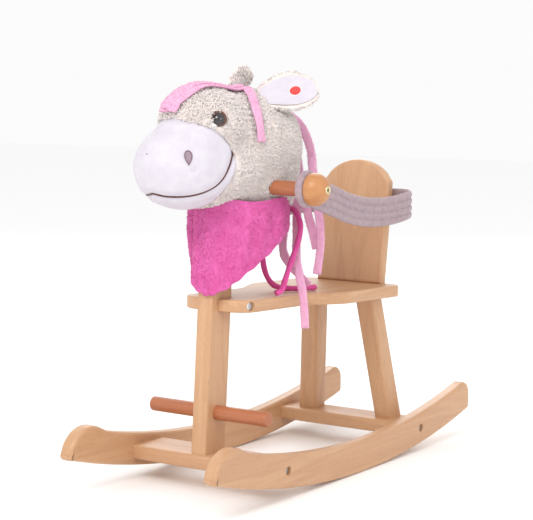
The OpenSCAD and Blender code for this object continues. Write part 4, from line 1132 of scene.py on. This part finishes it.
# %% Ties
TIE_A = [(-2, -32, 398), (-8, -32, 380), (-10, -38, 356), (-8, -44, 330), (-2, -44, 306), (6, -38, 290),
         (16, -30, 284), (28, -24, 283), (38, -14, 282.6), (43, 4, 282), (45, 24, 281.3)]
TIE_B = [(12, -32, 404), (26, -28, 408), (42, -33, 406), (55, -40, 396), (62, -45, 381), (62, -50, 363),
         (60, -58, 344), (60, -70, 326), (60, -82, 306), (60, -92, 290), (56, -102, 285.8)]
for word, points in (("a", TIE_A), ("b", TIE_B)):
    path = smooth_path(points, 8)
    radius = 4.4 + 0.25 * np.sin(np.linspace(0, 40, len(path)))
    made = piece(f"tie_{word}", *tube(path, radius, (0.3, 0.2, 1), 16), TIE, slot="tie_cloth",
                 replaces=[f"scarf_tie_{word}"])
print("scarf and ties done")

# %% [markdown]
# ## Safety strap
# The strap is a padded band on edge, from one end of the handle round behind the backrest
# to the other. Its section has four soft ribs on the outside, and each end is a thick
# round eye on the dowel.

# %% Strap
STRAP_END_X, STRAP_HALF = 130.6, 23.0
STRAP_SIDE = [(STRAP_END_X, -133, 446), (STRAP_END_X, -105, 438), (129, -58, 425), (124, -6, 411), (117, 60, 400.5),
              (111, 130, 397), (108, 190, 400), (94, 233, 402), (62, 252, 402), (20, 256, 400)]
strap_points = np.array(STRAP_SIDE + [(-x, y, z) for x, y, z in STRAP_SIDE[::-1]], float)
path = smooth_path(strap_points, 12)
a, b = frames(path, (0, 0, 1))
s = np.linspace(0, 1, len(path))[:, None]
q = np.concatenate([np.linspace(-1, 1, 33), np.linspace(1, -1, 12)])[None, :]
outside = np.concatenate([np.ones(33, bool), np.zeros(12, bool)])[None, :]
ribs = 4.4 * (1 - np.abs(q) ** 8) ** 0.5 - 2.2 * (bell(q - 0.5, 0.09) + bell(q, 0.09) + bell(q + 0.5, 0.09))
depth = np.where(outside, ribs, -2.6 * (1 - np.abs(q) ** 10) ** 0.5)
pucker = 0.35 * np.sin(s * 2 * math.pi * 40) * bell(np.abs(q) - 0.5, 0.25)
outward = np.where((b[len(path) // 2, 1] > 0), 1.0, -1.0)
profile = path[:, None] + STRAP_HALF * q[..., None] * a[:, None] + outward * (depth + pucker)[..., None] * b[:, None]
strap_band = piece("strap_band", profile.reshape(-1, 3),
                   joined([(profile, quads(len(path), 45, round_columns=True))])[1], STRAP, body="strap",
                   slot="strap_cloth", replaces=["safety_strap"])
fix_winding(strap_band)
eye_profile = [[-6, 11.6], [-6.2, 14], [-6.4, 20], [-5.6, 24.5], [-3.4, 26.8], [0, 27.4], [3.4, 26.8], [5.6, 24.5],
               [6.4, 20], [6.2, 14], [6, 11.6], [-6, 11.6]]
eye_parts = [turned(GRIP + [side * STRAP_END_X, 0, 0], (side, 0, 0), eye_profile, 56) for side in (1, -1)]
eyes_made = piece("strap_eyes", *joined(eye_parts), STRAP, body="strap", slot="strap_cloth", sharp=60)
fix_winding(eyes_made)
print("strap done")

# %% [markdown]
# ## What stays as modelled
# Hidden pieces and fasteners keep their modelled shape, and take a material.

# %% Materials for the modelled pieces
plain = Material("plain_plastic", Base_Color=rgb(225, 225, 222), Roughness=0.5).data
KEPT = {"head_block": beech("beech_block", 0, 51.0), "leg_top_dowels": beech("beech_dowels", 2, 53.0),
        "speaker": Material("speaker_grey", Base_Color=rgb(75, 75, 80), Roughness=0.55).data,
        "batteries": Material("cell_wrap", Base_Color=rgb(78, 115, 80), Roughness=0.4).data,
        "circuit_board": Material("board_green", Base_Color=rgb(53, 115, 77), Roughness=0.45).data,
        **dict.fromkeys(("eye_washers", "sound_box", "sound_box_lid"), plain),
        **dict.fromkeys(("knob_screws", "leg_foot_screws", "post_foot_screws", "backrest_screws",
                         "rocker_barrel_nuts", "head_block_screws"), STEEL)}
for name, material in KEPT.items():
    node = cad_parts[name]
    node.data.materials.clear()
    node.data.materials.append(material)

# %% [markdown]
# ## Floor and lights
# A pale floor, a large soft key light from the front, a weaker fill from its left and a rim
# light from behind, in pale surroundings.

# %% Stage
mesh = bpy.data.meshes.new("floor")
mesh.from_pydata([(-9, -9, 0), (9, -9, 0), (9, 9, 0), (-9, 9, 0)], [], [(0, 1, 2, 3)])
floor = bpy.data.objects.new("floor", mesh)
mesh.materials.append(Material("floor_paper", Base_Color=(0.97, 0.97, 0.97, 1.0), Roughness=1.0).data)
bpy.context.scene.collection.objects.link(floor)


def area_light(name, place, target, size, power, colour=(1, 1, 1)):
    """A round area light that looks from `place` at `target`."""
    data = bpy.data.lights.new(name, "AREA")
    data.shape, data.size, data.energy, data.color = "DISK", size, power, colour
    light = bpy.data.objects.new(name, data)
    way = np.array(target, float) - np.array(place, float)
    z = -unit(way)
    x = unit(np.cross([0.0, 0.0, 1.0], z))
    turn = Matrix(np.column_stack([x, np.cross(z, x), z]).tolist())
    light.matrix_world = Matrix.Translation(place) @ turn.to_4x4()
    bpy.context.scene.collection.objects.link(light)


area_light("key", (0.4, -2.6, 2.6), (0, 0, 0.3), 1.6, 50, (1.0, 0.985, 0.97))
area_light("fill", (2.8, -0.6, 1.4), (0, 0, 0.3), 2.0, 14)
area_light("rim", (-1.6, 2.2, 2.0), (0, 0, 0.4), 1.4, 22)
world = bpy.data.worlds.new("surroundings")
world.use_nodes = True
world.node_tree.nodes["Background"].inputs[0].default_value = (1.0, 1.0, 1.0, 1.0)
world.node_tree.nodes["Background"].inputs[1].default_value = 0.97
bpy.context.scene.world = world
